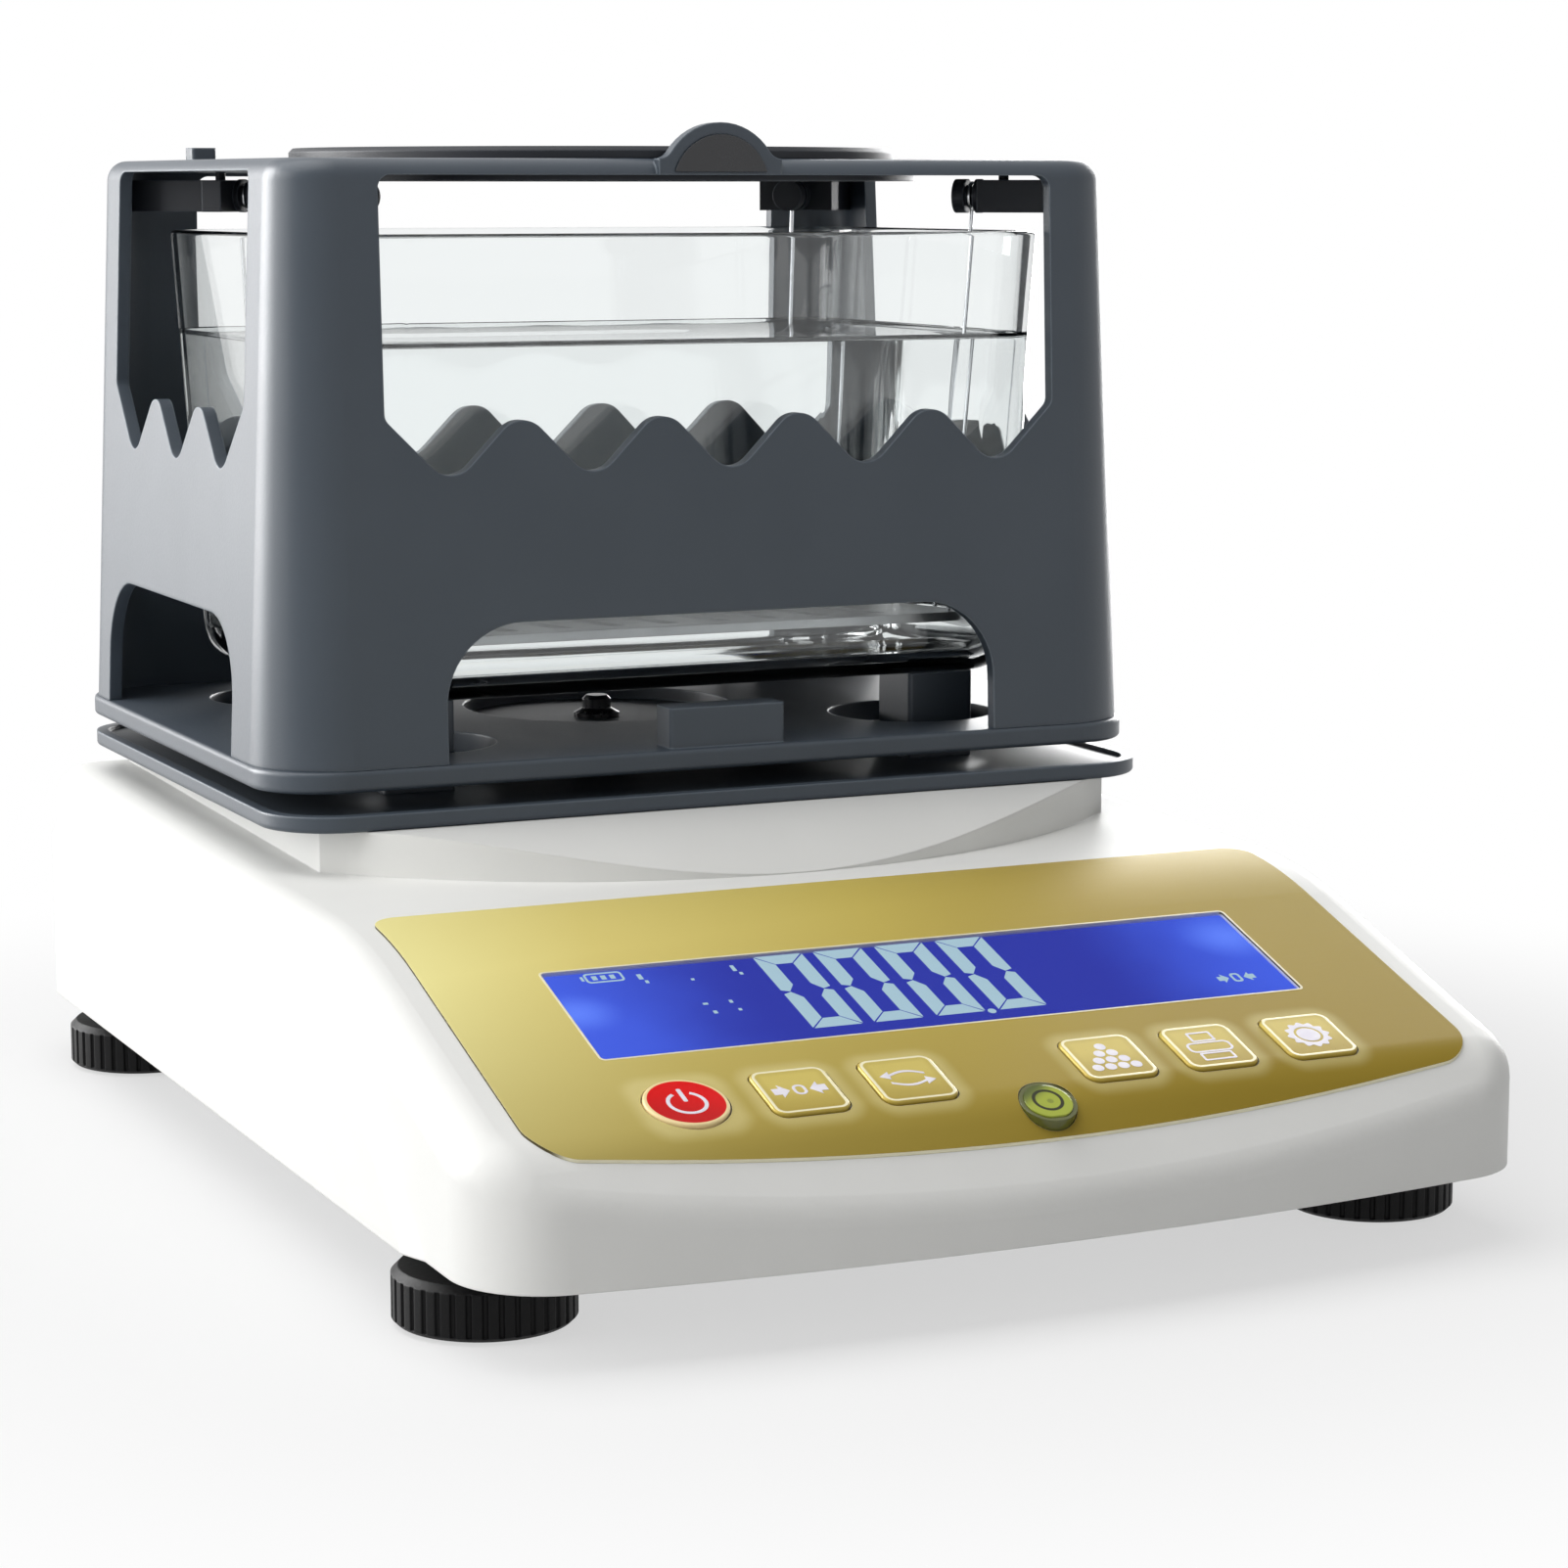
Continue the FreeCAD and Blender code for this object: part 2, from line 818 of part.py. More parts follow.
# A skirt stands proud of the body on each side, inside a slanting band.
skirts = []
for side in (1, -1):
    face = halfWidth.value * side
    proud = (halfWidth.value + lengths["skirt_depth"]) * side
    skirt = doc.addObject("Part::Feature", "skirt")
    skirt.Shape = Part.makeLoft(
        [skirtOutline("stripe", face), skirtOutline("skirt", proud)], True, True)
    skirts.append(skirt)
sides = fuse("housing_sides", [outer] + skirts)

# Raised neck under the tank plate: bowed upright front with a rolled-over top.
neck = newBody("neck")
neckLow = size("neck_low")
neckSketch = newSketch(neck, "Outline", "XY_Plane", neckLow)
neckHalf = lengths["neck_width"] / 2
neckEnd = (lengths["neck_tip"] + lengths["neck_radius"]
           - math.sqrt(lengths["neck_radius"] ** 2 - neckHalf ** 2))
neckBack = lengths["neck_back"]
drawPath(neckSketch, [
    ((-neckHalf, neckEnd), (0.0, lengths["neck_tip"]), (neckHalf, neckEnd)),
    ((neckHalf, neckEnd), (neckHalf, neckBack)),
    ((neckHalf, neckBack), (-neckHalf, neckBack)),
    ((-neckHalf, neckBack), (-neckHalf, neckEnd))])
pad(neck, neckSketch, size("neck_top") - neckLow)
rollSketch = newSketch(neck, "Roll", "YZ_Plane", size("neck_width") / 2 + over)
rollTop = (lengths["neck_roll_top"], lengths["neck_top"])
rollCentre = (rollTop[0], rollTop[1] - lengths["neck_roll"])
rollReach = math.radians(lengths["neck_roll_angle"])
rollLow = (rollCentre[0] - lengths["neck_roll"] * math.sin(rollReach),
           rollCentre[1] + lengths["neck_roll"] * math.cos(rollReach))
rollMid = (rollCentre[0] - lengths["neck_roll"] * math.sin(rollReach / 2),
           rollCentre[1] + lengths["neck_roll"] * math.cos(rollReach / 2))
above = lengths["neck_top"] + lengths["overrun"]
drawPath(rollSketch, [
    (rollLow, rollMid, rollTop), (rollTop, (rollTop[0], above)),
    ((rollTop[0], above), (rollLow[0], above)), ((rollLow[0], above), rollLow)])
pocket(neck, rollSketch, size("neck_width") + over * 2)
solidHousing = fuse("housing_solid", [sides, neck])

# Hollow inside, following the outside at wall thickness.
cavity = planBody("housing_cavity", lengths["housing_wall"], floorZ - over, deckRoom + over)
trimTop(cavity, lengths["panel_wall"], halfWidth, ceiling)
neckRoom = box("neck_room",
               (-size("neck_room_half"), size("neck_room_front"), neckLow),
               (size("neck_room_half"), size("neck_room_back"), size("neck_top") - size("panel_wall")))
rackY = size("rack_y")
spindleWell = cylinder("spindle_well", (zero, rackY, neckLow), size("spindle_hole"),
                       size("neck_top") - neckLow + over)

panelPlace = onSlope("window_y")
keyPlace = onSlope("key_y")
steepRise = Size(math.tan(math.radians(lengths["front_slope"])), "tan(Sizes.front_slope * 1 deg)")
lowBend = topPath(0.0)[0][1]
bubbleZ = asSize(lowBend[1]) + (size("bubble_y") - lowBend[0]) * steepRise
bubbleTurn = size("bubble_angle")
bubbleSine = Size(math.sin(math.radians(bubbleTurn.value)), "sin(Sizes.bubble_angle * 1 deg)")
bubbleCosine = Size(math.cos(math.radians(bubbleTurn.value)), "cos(Sizes.bubble_angle * 1 deg)")


def onPanel(item):
    tilt(item, panelPlace, slope)
    return item


def onKeys(item):
    tilt(item, keyPlace, slope)
    return item


# Cylinder square to the panel at the bubble level, from a depth below the surface up.
def onBubble(name, radius, deep, height):
    item = cylinder(name, (zero, zero, zero), radius, height)
    tilt(item, (size("bubble_x"), size("bubble_y") + deep * bubbleSine,
                bubbleZ - deep * bubbleCosine), bubbleTurn)
    return item


# Upright block over the outline of the gold overlay, moved inwards by the given amount.
def filmBlock(name, inset):
    half = lengths["overlay_width"] / 2 - inset
    corner = lengths["overlay_corner"] - inset
    rearCorner = lengths["overlay_back_corner"] - inset
    bow = lengths["overlay_bow"] - inset
    centre = lengths["overlay_front"] + lengths["overlay_bow"]
    back = lengths["overlay_back"] - inset
    sideX = half - corner
    rearX = half - rearCorner
    cornerY = centre - math.sqrt((bow - corner) ** 2 - sideX ** 2)
    turn = math.atan2(sideX, centre - cornerY)
    meet = (bow * math.sin(turn), centre - bow * math.cos(turn))
    mid = (turn + math.pi / 2) / 2
    swing = (sideX + corner * math.sin(mid), cornerY - corner * math.cos(mid))
    diagonal = rearCorner * math.sqrt(0.5)
    right = [
        (meet, swing, (half, cornerY)),
        ((half, cornerY), (half, back - rearCorner)),
        ((half, back - rearCorner), (rearX + diagonal, back - rearCorner + diagonal),
         (rearX, back))]
    left = [tuple((-p[0], p[1]) for p in reversed(piece)) for piece in reversed(right)]
    front = [((-meet[0], meet[1]), (0.0, centre - bow), meet)]
    body = newBody(name)
    outline = newSketch(body, "Outline", "XY_Plane", size("housing_floor"))
    drawPath(outline, front + right + [((rearX, back), (-rearX, back))] + left)
    pad(body, outline, deckRoom)
    return body


edgeGap = size("key_edge")
film = size("overlay_thick")
panelWall = size("panel_wall")
windowWidth, windowLength = size("window_width"), size("window_length")
windowGap = size("window_gap")

windowHole = onPanel(roundPlate(
    "window_hole", (zero, zero), windowWidth + windowGap * 2, windowLength + windowGap * 2,
    size("window_corner") + windowGap, -panelWall - over, panelWall + over * 2))

keySpots = [
    ("power_key", -size("key_outer_x")),
    ("zero_key", -size("key_middle_x")),
    ("mode_key", -size("key_inner_x")),
    ("count_key", size("key_inner_x")),
    ("print_key", size("key_middle_x")),
    ("set_key", size("key_outer_x")),
]
keySize = size("key_size")
holes = []
for name, x in keySpots:
    if name == "power_key":
        hole = cylinder(name + "_hole", (x, zero, -panelWall - over),
                        size("key_round") / 2 + edgeGap, panelWall + over * 2)
    else:
        hole = roundPlate(name + "_hole", (x, zero), keySize + edgeGap * 2, keySize + edgeGap * 2,
                          size("key_corner") + edgeGap, -panelWall - over, panelWall + over * 2)
    holes.append(hole)
keyHoles = onKeys(fuse("key_holes", holes))
bubbleDepth = size("bubble_depth")
bubbleBore = onBubble("bubble_bore", size("bubble_radius") + size("bubble_gap"),
                      bubbleDepth + over, bubbleDepth + over * 2)
bubbleHole = common("bubble_hole", bubbleBore, filmBlock("bubble_hole_trim", 0.0))

# Sockets in the rear wall.
backY = size("housing_back")
inletHole = lyingCylinder(
    "inlet_hole", (size("inlet_x"), backY - size("inlet_deep"), size("inlet_z")),
    size("inlet_radius") + size("socket_gap"), size("inlet_deep") + over, (0, 1, 0))
serialX, serialZ = size("serial_x"), size("inlet_z")
serialGap = size("socket_gap")
serialHole = box(
    "serial_hole",
    (serialX - size("serial_shell_width") / 2 - serialGap, backY - size("serial_deep"),
     serialZ - size("serial_shell_high") / 2 - serialGap),
    (serialX + size("serial_shell_width") / 2 + serialGap, backY + over,
     serialZ + size("serial_shell_high") / 2 + serialGap))

hollow = cut("housing_hollow", solidHousing, fuse("housing_voids", [
    cavity, neckRoom, spindleWell, windowHole, keyHoles, bubbleHole, inletHole, serialHole]))

# Screw posts that take the bottom cover.
coverTop = floorZ + size("cover_thick")
posts = []
screwSpots = []
for x in (-size("cover_screw_x"), size("cover_screw_x")):
    screwSpots.append((x, -size("cover_screw_front"), size("post_front_high")))
    screwSpots.append((x, size("cover_screw_back"), size("post_back_high")))
for k, spot in enumerate(screwSpots):
    post = cylinder("screw_post_%d" % k, (spot[0], spot[1], coverTop), size("cover_post"),
                    spot[2] - coverTop)
    bore = cylinder("screw_post_bore_%d" % k, (spot[0], spot[1], coverTop),
                    size("screw_shank"), size("cover_screw_high") - coverTop)
    posts.append(cut("screw_post_cut_%d" % k, post, bore))
keep(fuse("upper_housing", [hollow] + posts))

# Bottom cover with bosses for the threaded inserts of the feet.
feet = [
    ("front_left", -size("foot_x"), size("foot_front")),
    ("front_right", size("foot_x"), size("foot_front")),
    ("back_left", -size("foot_x"), size("foot_back")),
    ("back_right", size("foot_x"), size("foot_back")),
]
coverInset = lengths["housing_wall"] + lengths["cover_gap"]
coverPlate = planBody("cover_plate", coverInset, floorZ, size("cover_thick"))
bosses = []
bores = []
inserts = []
studGap = size("foot_stud_radius") + size("running_gap")
for name, x, y in feet:
    bosses.append(cylinder("boss_" + name, (x, y, coverTop), size("cover_boss"),
                           size("insert_high") - coverTop))
    bores.append(cylinder("boss_bore_" + name, (x, y, coverTop), size("insert_radius"),
                          size("insert_high") - coverTop + over))
    bores.append(cylinder("stud_hole_" + name, (x, y, floorZ - over),
                          size("foot_stud_radius") + size("stud_room"), size("cover_thick") + over * 2))
    ring = cylinder("insert_ring_" + name, (x, y, coverTop), size("insert_radius"),
                    size("insert_high") - coverTop)
    thread = cylinder("insert_bore_" + name, (x, y, coverTop - over), studGap,
                      size("insert_high") - coverTop + over * 2)
    inserts.append(cut("insert_" + name, ring, thread))
screws = []
for k, spot in enumerate(screwSpots):
    shank = cylinder("cover_shank_%d" % k, (spot[0], spot[1], floorZ), size("screw_shank"),
                     size("cover_screw_high") - floorZ)
    head = cylinder("cover_head_%d" % k, (spot[0], spot[1], floorZ - size("screw_head_thick")),
                    size("screw_head"), size("screw_head_thick"))
    screws.append(fuse("cover_screw_%d" % k, [shank, head]))
    bores.append(cylinder("cover_screw_hole_%d" % k, (spot[0], spot[1], floorZ - over),
                          size("screw_shank"), size("cover_thick") + over * 2))
keep(cut("bottom_cover", fuse("cover_solid", [coverPlate] + bosses), fuse("cover_bores", bores)))
keep(group("foot_inserts", inserts))
keep(group("cover_screws", screws))

# Levelling feet: a knurled knob on a threaded stud that turns on a rubber pad.
for name, x, y in feet:
    knobLow, knobHigh = size("foot_knob_low"), size("foot_knob_high")
    radius, bevel = size("foot_radius"), size("foot_bevel")
    pinBore = size("foot_pad_pin") + size("running_gap")
    pinTop = size("foot_pad_pin_high") + size("foot_pad_neck_gap")
    edge = size("foot_edge")
    recess, recessTop = size("foot_recess"), size("foot_recess_high")
    knob = turned("foot_knob_" + name, [
        (recess, knobLow), (radius - edge, knobLow), (radius, knobLow + edge),
        (radius, knobHigh - bevel), (radius - bevel, knobHigh), (size("foot_hub_radius"), knobHigh),
        (size("foot_hub_radius"), size("foot_hub_high")),
        (size("foot_stud_radius"), size("foot_hub_high")),
        (size("foot_stud_radius"), size("foot_stud_high")), (zero, size("foot_stud_high")),
        (zero, pinTop), (pinBore, pinTop), (pinBore, recessTop), (recess, recessTop)])
    knurl = newSketch(knob, "Knurl", "XY_Plane", knobHigh - bevel)
    drawCircle(knurl, (radius, zero), size("foot_groove"))
    groove = pocket(knob, knurl, knobHigh - knobLow - bevel - edge)
    ring = knob.newObject("PartDesign::PolarPattern", "Knurls")
    ring.Originals = [groove]
    for axis in knob.Origin.OriginFeatures:
        if axis.Role == "Z_Axis":
            ring.Axis = (axis, [""])
    ring.Angle = 360
    ring.Occurrences = int(lengths["foot_groove_count"])
    knob.Tip = ring
    place(knob, (x, y, zero))
    keep(knob)
    rubber = turned("foot_pad_" + name, [
        (zero, zero), (size("foot_pad_radius") - size("foot_pad_edge"), zero),
        (size("foot_pad_radius"), size("foot_pad_edge")),
        (size("foot_pad_radius"), size("foot_pad_thick")),
        (size("foot_pad_pin"), size("foot_pad_thick")),
        (size("foot_pad_pin"), size("foot_pad_pin_high")), (zero, size("foot_pad_pin_high"))])
    place(rubber, (x, y, zero))
    keep(rubber)

# Gold overlay bent to the panel.
sheetBody = newBody("overlay_sheet")
sheetSketch = newSketch(sheetBody, "Section", "YZ_Plane", -halfWidth)
upperPath = topPath(-lengths["overlay_thick"])
lowerPath = topPath(0.0)
joined = list(upperPath) + [(upperPath[-1][-1], lowerPath[-1][-1])]
joined += [tuple(reversed(piece)) for piece in reversed(lowerPath)]
joined += [(lowerPath[0][0], upperPath[0][0])]
drawPath(sheetSketch, joined)
pad(sheetBody, sheetSketch, halfWidth * 2)
overlayBlank = common("overlay_blank", filmBlock("overlay_outline", 0.0), sheetBody)
overlay = cut("keypad_overlay", overlayBlank,
              fuse("overlay_holes", [windowHole, keyHoles, bubbleHole]))
keep(overlay)

# Display window, display module, keys, key board and bubble level.
windowPane = roundPlate("display_window", (zero, zero), windowWidth, windowLength,
                        size("window_corner"), film - size("window_thick"), size("window_thick"))
keep(onPanel(windowPane))
glassTop = film - size("window_thick") - windowGap
moduleBack = box("module_back",
                 (-size("screen_width") / 2, -size("screen_length") / 2,
                  -panelWall - size("screen_thick")),
                 (size("screen_width") / 2, size("screen_length") / 2, -panelWall))
moduleGlass = roundPlate("module_glass", (zero, zero), windowWidth, windowLength,
                         size("window_corner"), -panelWall, glassTop + panelWall)
keep(onPanel(fuse("display_module", [moduleBack, moduleGlass])))

flangeTop = -panelWall - size("key_flange_gap")
flangeLow = flangeTop - size("key_flange_thick")
stemLow = flangeLow - size("key_stem_drop")
capTop = film + size("key_proud")
flangeExtra = size("key_flange") * 2
for name, x in keySpots:
    body = newBody(name)
    cap = newSketch(body, "Cap", "XY_Plane", flangeTop)
    if name == "power_key":
        drawCircle(cap, (x, zero), size("key_round") / 2)
    else:
        drawRound(cap, (x, zero), keySize, keySize, size("key_corner"))
    pad(body, cap, capTop - flangeTop)
    topZ = capTop.value
    fillet(body, lambda edge: abs(edge.BoundBox.ZMin - topZ) + abs(edge.BoundBox.ZMax - topZ) < near,
           size("key_edge_round"))
    flange = newSketch(body, "Flange", "XY_Plane", flangeLow)
    if name == "power_key":
        drawCircle(flange, (x, zero), size("key_round") / 2 + size("key_flange"))
    else:
        drawRound(flange, (x, zero), keySize + flangeExtra, keySize + flangeExtra,
                  size("key_corner"))
    pad(body, flange, size("key_flange_thick"))
    stem = newSketch(body, "Stem", "XY_Plane", stemLow)
    drawRound(stem, (x, zero), size("key_stem"), size("key_stem"), size("key_edge_round"))
    pad(body, stem, size("key_stem_drop"))
    keep(onKeys(body))
boardTop = stemLow - size("key_travel_room")
keyBoard = roundPlate("key_board", (zero, zero), size("key_board_width"), size("key_board_length"),
                      size("key_corner"), boardTop - size("board_thick"), size("board_thick"))
boardNotch = cylinder("key_board_notch", (zero, -size("key_board_length") / 2, boardTop - over),
                      size("bubble_radius") * 2, over * 2)
keep(onKeys(cut("keypad_board", keyBoard, boardNotch)))

vialOuter = onBubble("vial_outer", size("bubble_radius"), bubbleDepth, bubbleDepth + film)
vialBody = common("vial_blank", vialOuter, filmBlock("vial_trim", lengths["bubble_gap"]))
lensTrim = filmBlock("lens_trim", lengths["bubble_gap"] + lengths["bubble_rim"])
lensRadius, lensDepth = size("bubble_radius") - size("bubble_rim"), size("bubble_lens")
boreShape = onBubble("vial_bore", lensRadius, lensDepth, lensDepth + film + over)
keep(cut("level_vial", vialBody, common("vial_room", boreShape, lensTrim)))
lensShape = onBubble("lens_blank", lensRadius, lensDepth, lensDepth + film + size("bubble_proud"))
keep(common("level_lens", lensShape, lensTrim))

# Load cell on its mount, with the spindle that carries the weighed rack.
cellFront = rackY - size("cell_depth") / 2
cellBack = rackY + size("cell_depth") / 2
cellLow, cellHigh = size("cell_low"), size("cell_high")
cellMiddle = (cellLow + cellHigh) / 2
cellBar = box("cell_bar", (size("cell_left"), cellFront, cellLow),
              (size("cell_right"), cellBack, cellHigh))
cellVoids = []
for k, shift in enumerate((-size("cell_hole_spread") / 2, size("cell_hole_spread") / 2)):
    cellVoids.append(lyingCylinder(
        "cell_eye_%d" % k, (size("cell_hole_x") + shift, cellFront - over, cellMiddle),
        size("cell_hole"), size("cell_depth") + over * 2, (0, 1, 0)))
cellVoids.append(box(
    "cell_slot",
    (size("cell_hole_x") - size("cell_hole_spread") / 2, cellFront - over,
     cellMiddle - size("cell_hole") / 2),
    (size("cell_hole_x") + size("cell_hole_spread") / 2, cellBack + over,
     cellMiddle + size("cell_hole") / 2)))
boltBores = []
bolts = []
boltLow = cellLow - size("cell_bolt_deep")
for k, x in enumerate((size("cell_screw_x_a"), size("cell_screw_x_b"))):
    for m, shift in enumerate((-size("cell_screw_front"), size("cell_screw_front"))):
        label = "%d%d" % (k, m)
        boltBores.append(cylinder("cell_bolt_bore_" + label, (x, rackY + shift, boltLow),
                                  size("cell_bolt_radius"), cellHigh - boltLow + over))
        shank = cylinder("cell_bolt_shank_" + label, (x, rackY + shift, boltLow),
                         size("cell_bolt_radius"), cellHigh - boltLow)
        head = cylinder("cell_bolt_head_" + label, (x, rackY + shift, cellHigh),
                        size("cell_bolt_head"), size("cell_bolt_head_thick"))
        bolts.append(fuse("cell_bolt_" + label, [shank, head]))
boltVoid = fuse("cell_bolt_bores", boltBores)
keep(cut("load_cell", cellBar, fuse("cell_voids", cellVoids + [boltVoid])))
mountBlock = box("mount_block", (size("cell_left"), cellFront, coverTop),
                 (size("cell_mount_right"), cellBack, cellLow))
keep(cut("cell_mount", mountBlock, boltVoid))
keep(group("cell_bolts", bolts))

plateLow, plateHigh = size("rack_plate_low"), size("rack_plate_high")
spindleFoot = cellHigh + size("load_gap")
spindle = turned("spindle", [
    (zero, spindleFoot), (size("spindle_foot_radius"), spindleFoot),
    (size("spindle_foot_radius"), spindleFoot + size("spindle_foot_high")),
    (size("spindle_radius"), spindleFoot + size("spindle_foot_high")),
    (size("spindle_radius"), plateLow), (size("spindle_bore"), plateLow),
    (size("spindle_bore"), plateLow - size("spindle_bore_deep")),
    (zero, plateLow - size("spindle_bore_deep"))])
place(spindle, (zero, rackY, zero))
keep(spindle)

# Tank plate on the neck, with the four posts that carry the glass tank.
bridgeY = size("bridge_y")
bridgeLow, bridgeHigh = size("neck_top"), size("bridge_high")
bridge = roundPlate("tank_plate", (zero, bridgeY), size("bridge_width"), size("bridge_depth"),
                    size("rack_plate_corner"), bridgeLow, size("bridge_lip_high") - bridgeLow)
trayRoom = newSketch(bridge, "Tray", "XY_Plane", size("bridge_lip_high"))
drawRound(trayRoom, (zero, bridgeY), size("bridge_width") - size("bridge_lip") * 2,
          size("bridge_depth") - size("bridge_lip") * 2,
          size("rack_plate_corner") - size("bridge_lip"))
pocket(bridge, trayRoom, size("bridge_lip_high") - bridgeHigh)
well = newSketch(bridge, "Well", "XY_Plane", bridgeHigh)
drawCircle(well, (zero, rackY), size("spindle_hole"))
pocket(bridge, well, bridgeHigh - bridgeLow + over)
fillet(bridge, lambda edge: abs(edge.BoundBox.ZMax - bridgeLow.value) < near
       and abs(edge.BoundBox.ZMin - bridgeLow.value) < near
       and max(abs(edge.BoundBox.XMin), abs(edge.BoundBox.XMax)) > lengths["post_x"], size("plate_edge"))
keep(bridge)

rackPlaces = []
for label, sx, sy in (("front_left", -1, -1), ("front_right", 1, -1),
                      ("back_left", -1, 1), ("back_right", 1, 1)):
    rackPlaces.append((label, sx, sy))
supports = []
for label, sx, sy in rackPlaces:
    x = size("post_x") * sx
    y = size("tank_y") + size("port_y") * sy
    supports.append(roundPlate("tank_post_" + label, (x, y), size("post_width"), size("post_depth"),
                               size("plate_edge"), bridgeHigh, size("tank_floor") - bridgeHigh))
keep(group("tank_posts", supports))

# Base plate of the weighed rack: round ports for the posts and a shallow dish.
rackPlate = roundPlate("rack_plate", (zero, rackY), size("rack_plate_width"),
                       size("rack_plate_depth"), size("rack_plate_corner"), plateLow,
                       plateHigh - plateLow)
fillet(rackPlate, lambda edge: edge.BoundBox.ZMax - edge.BoundBox.ZMin < near, size("plate_edge"))
dish = newSketch(rackPlate, "Dish", "XY_Plane", plateHigh)
drawCircle(dish, (zero, rackY), size("dish_radius"))
pocket(rackPlate, dish, size("dish_depth"))
ports = newSketch(rackPlate, "Ports", "XY_Plane", plateHigh)
for label, sx, sy in rackPlaces:
    drawCircle(ports, (size("port_x") * sx, rackY + size("port_y") * sy), size("port_radius"))
pocket(rackPlate, ports, plateHigh - plateLow + over)
screwWay = newSketch(rackPlate, "ScrewWay", "XY_Plane", plateHigh)
drawCircle(screwWay, (zero, rackY), size("spindle_bore"))
pocket(rackPlate, screwWay, plateHigh - plateLow + over)
lug = newSketch(rackPlate, "Lug", "XY_Plane", plateHigh - size("plate_edge"))
lugY = rackY - size("rack_plate_depth") / 2 + size("plate_edge") * 2 + size("lug_depth") / 2
drawRound(lug, (zero, lugY), size("lug_width"), size("lug_depth"), size("plate_edge"))
pad(rackPlate, lug, size("lug_high") - plateHigh + size("plate_edge"))
keep(rackPlate)

# Thumb screw in the middle of the dish.
dishZ = plateHigh - size("dish_depth")
screw = turned("centre_screw", [
    (zero, plateLow - size("spindle_bore_deep")),
    (size("spindle_bore"), plateLow - size("spindle_bore_deep")), (size("spindle_bore"), dishZ),
    (size("thumb_flange"), dishZ), (size("thumb_flange"), dishZ + size("thumb_flange_thick")),
    (size("thumb_radius"), dishZ + size("thumb_flange_thick") * 2),
    (size("thumb_radius"), dishZ + size("thumb_high") - size("plate_edge")),
    (size("thumb_radius") - size("plate_edge"), dishZ + size("thumb_high")),
    (zero, dishZ + size("thumb_high"))])
place(screw, (zero, rackY, zero))
keep(screw)


# Path around corner points, each rounded by its own radius.
def roundPath(corners):
    count = len(corners)
    cuts = []
    for k in range(count):
        spot = FreeCAD.Vector(corners[k][0], corners[k][1], 0)
        last = FreeCAD.Vector(corners[k - 1][0], corners[k - 1][1], 0)
        following = corners[(k + 1) % count]
        after = FreeCAD.Vector(following[0], following[1], 0)
        radius = corners[k][2]
        if radius == 0:
            cuts.append((spot, None, spot))
            continue
        inward = (last - spot).normalize()
        outward = (after - spot).normalize()
        half = inward.getAngle(outward) / 2
        reach = radius / math.tan(half)
        middle = (inward + outward).normalize()
        cuts.append((spot + inward * reach, spot + middle * (radius / math.sin(half) - radius),
                     spot + outward * reach))
    pieces = []
    for k in range(count):
        entry, turn, leave = cuts[k]
        if turn is not None:
            pieces.append(tuple((p.x, p.y) for p in (entry, turn, leave)))
        ahead = cuts[(k + 1) % count][0]
        if (ahead - leave).Length > 0.001:
            pieces.append(((leave.x, leave.y), (ahead.x, ahead.y)))
    return pieces


# Window outline whose lower edge is a row of rounded notches.
def notchedWindow(middle, half, pitch, count, top):
    low, bend = lengths["notch_low"], lengths["notch_round"]
    first = middle - pitch * (count - 1) / 2.0
    rim = lengths["window_round"]
    peak = low + pitch / 2.0
    room = first - middle + half
    points = [(middle + half, top, rim), (middle - half, top, rim)]
    if room > pitch / 2.0:
        points.append((middle - half, peak, rim))
        points.append((first - pitch / 2.0, peak, bend))
    else:
        points.append((middle - half, low + room, rim))
    for k in range(count):
        points.append((first + pitch * k, low, bend))
        if k < count - 1:
            points.append((first + pitch * (k + 0.5), peak, bend))
    if room > pitch / 2.0:
        points.append((middle * 2 - first + pitch / 2.0, peak, bend))
        points.append((middle + half, peak, rim))
    else:
        points.append((middle + half, low + room, rim))
    return roundPath(points)


def archPath(middle, half):
    low = lengths["rack_plate_high"] - lengths["overrun"]
    top, bend = lengths["arch_top"], lengths["arch_round"]
    return roundPath([(middle - half, low, 0), (middle + half, low, 0),
                      (middle + half, top, bend), (middle - half, top, bend)])


# Weighed rack shell: tapered box with arches, notched windows and a roof.
shellTop = size("shell_top")
shellHigh = shellTop - plateHigh
shell = roundPlate("shell_body", (zero, rackY), size("shell_width"), size("shell_depth"),
                   size("shell_corner"), plateHigh, shellHigh, -size("shell_taper"))
fillet(shell, lambda edge: abs(edge.BoundBox.ZMin - shellTop.value) < near, size("shell_round"))
inside = newSketch(shell, "Inside", "XY_Plane", plateHigh)
wall = size("shell_wall")
drawRound(inside, (zero, rackY), size("shell_width") - wall * 2, size("shell_depth") - wall * 2,
          size("shell_corner") - wall)
room = shell.newObject("PartDesign::Pocket", "Room")
room.Profile = inside
room.Reversed = True
room.Length = (shellHigh - size("roof_thick")).value
bind(room, "Length", shellHigh - size("roof_thick"))
room.TaperAngle = -lengths["shell_taper"]
bind(room, "TaperAngle", -size("shell_taper"))
shell.Tip = room
doc.recompute()
frontFace = rackY - size("shell_depth") / 2 - over
rightFace = size("shell_width") / 2 + over
frontWindow = newSketch(shell, "FrontWindow", "XZ_Plane", -frontFace)
windowTop = lengths["shell_top"] - lengths["roof_thick"]
drawPath(frontWindow, notchedWindow(
    lengths["window_shift"], lengths["window_half_front"], lengths["notch_front"], 5,
    windowTop - lengths["front_lip"]))
pocket(shell, frontWindow, size("shell_depth") / 2)
backWindow = newSketch(shell, "BackWindow", "XZ_Plane", -rackY)
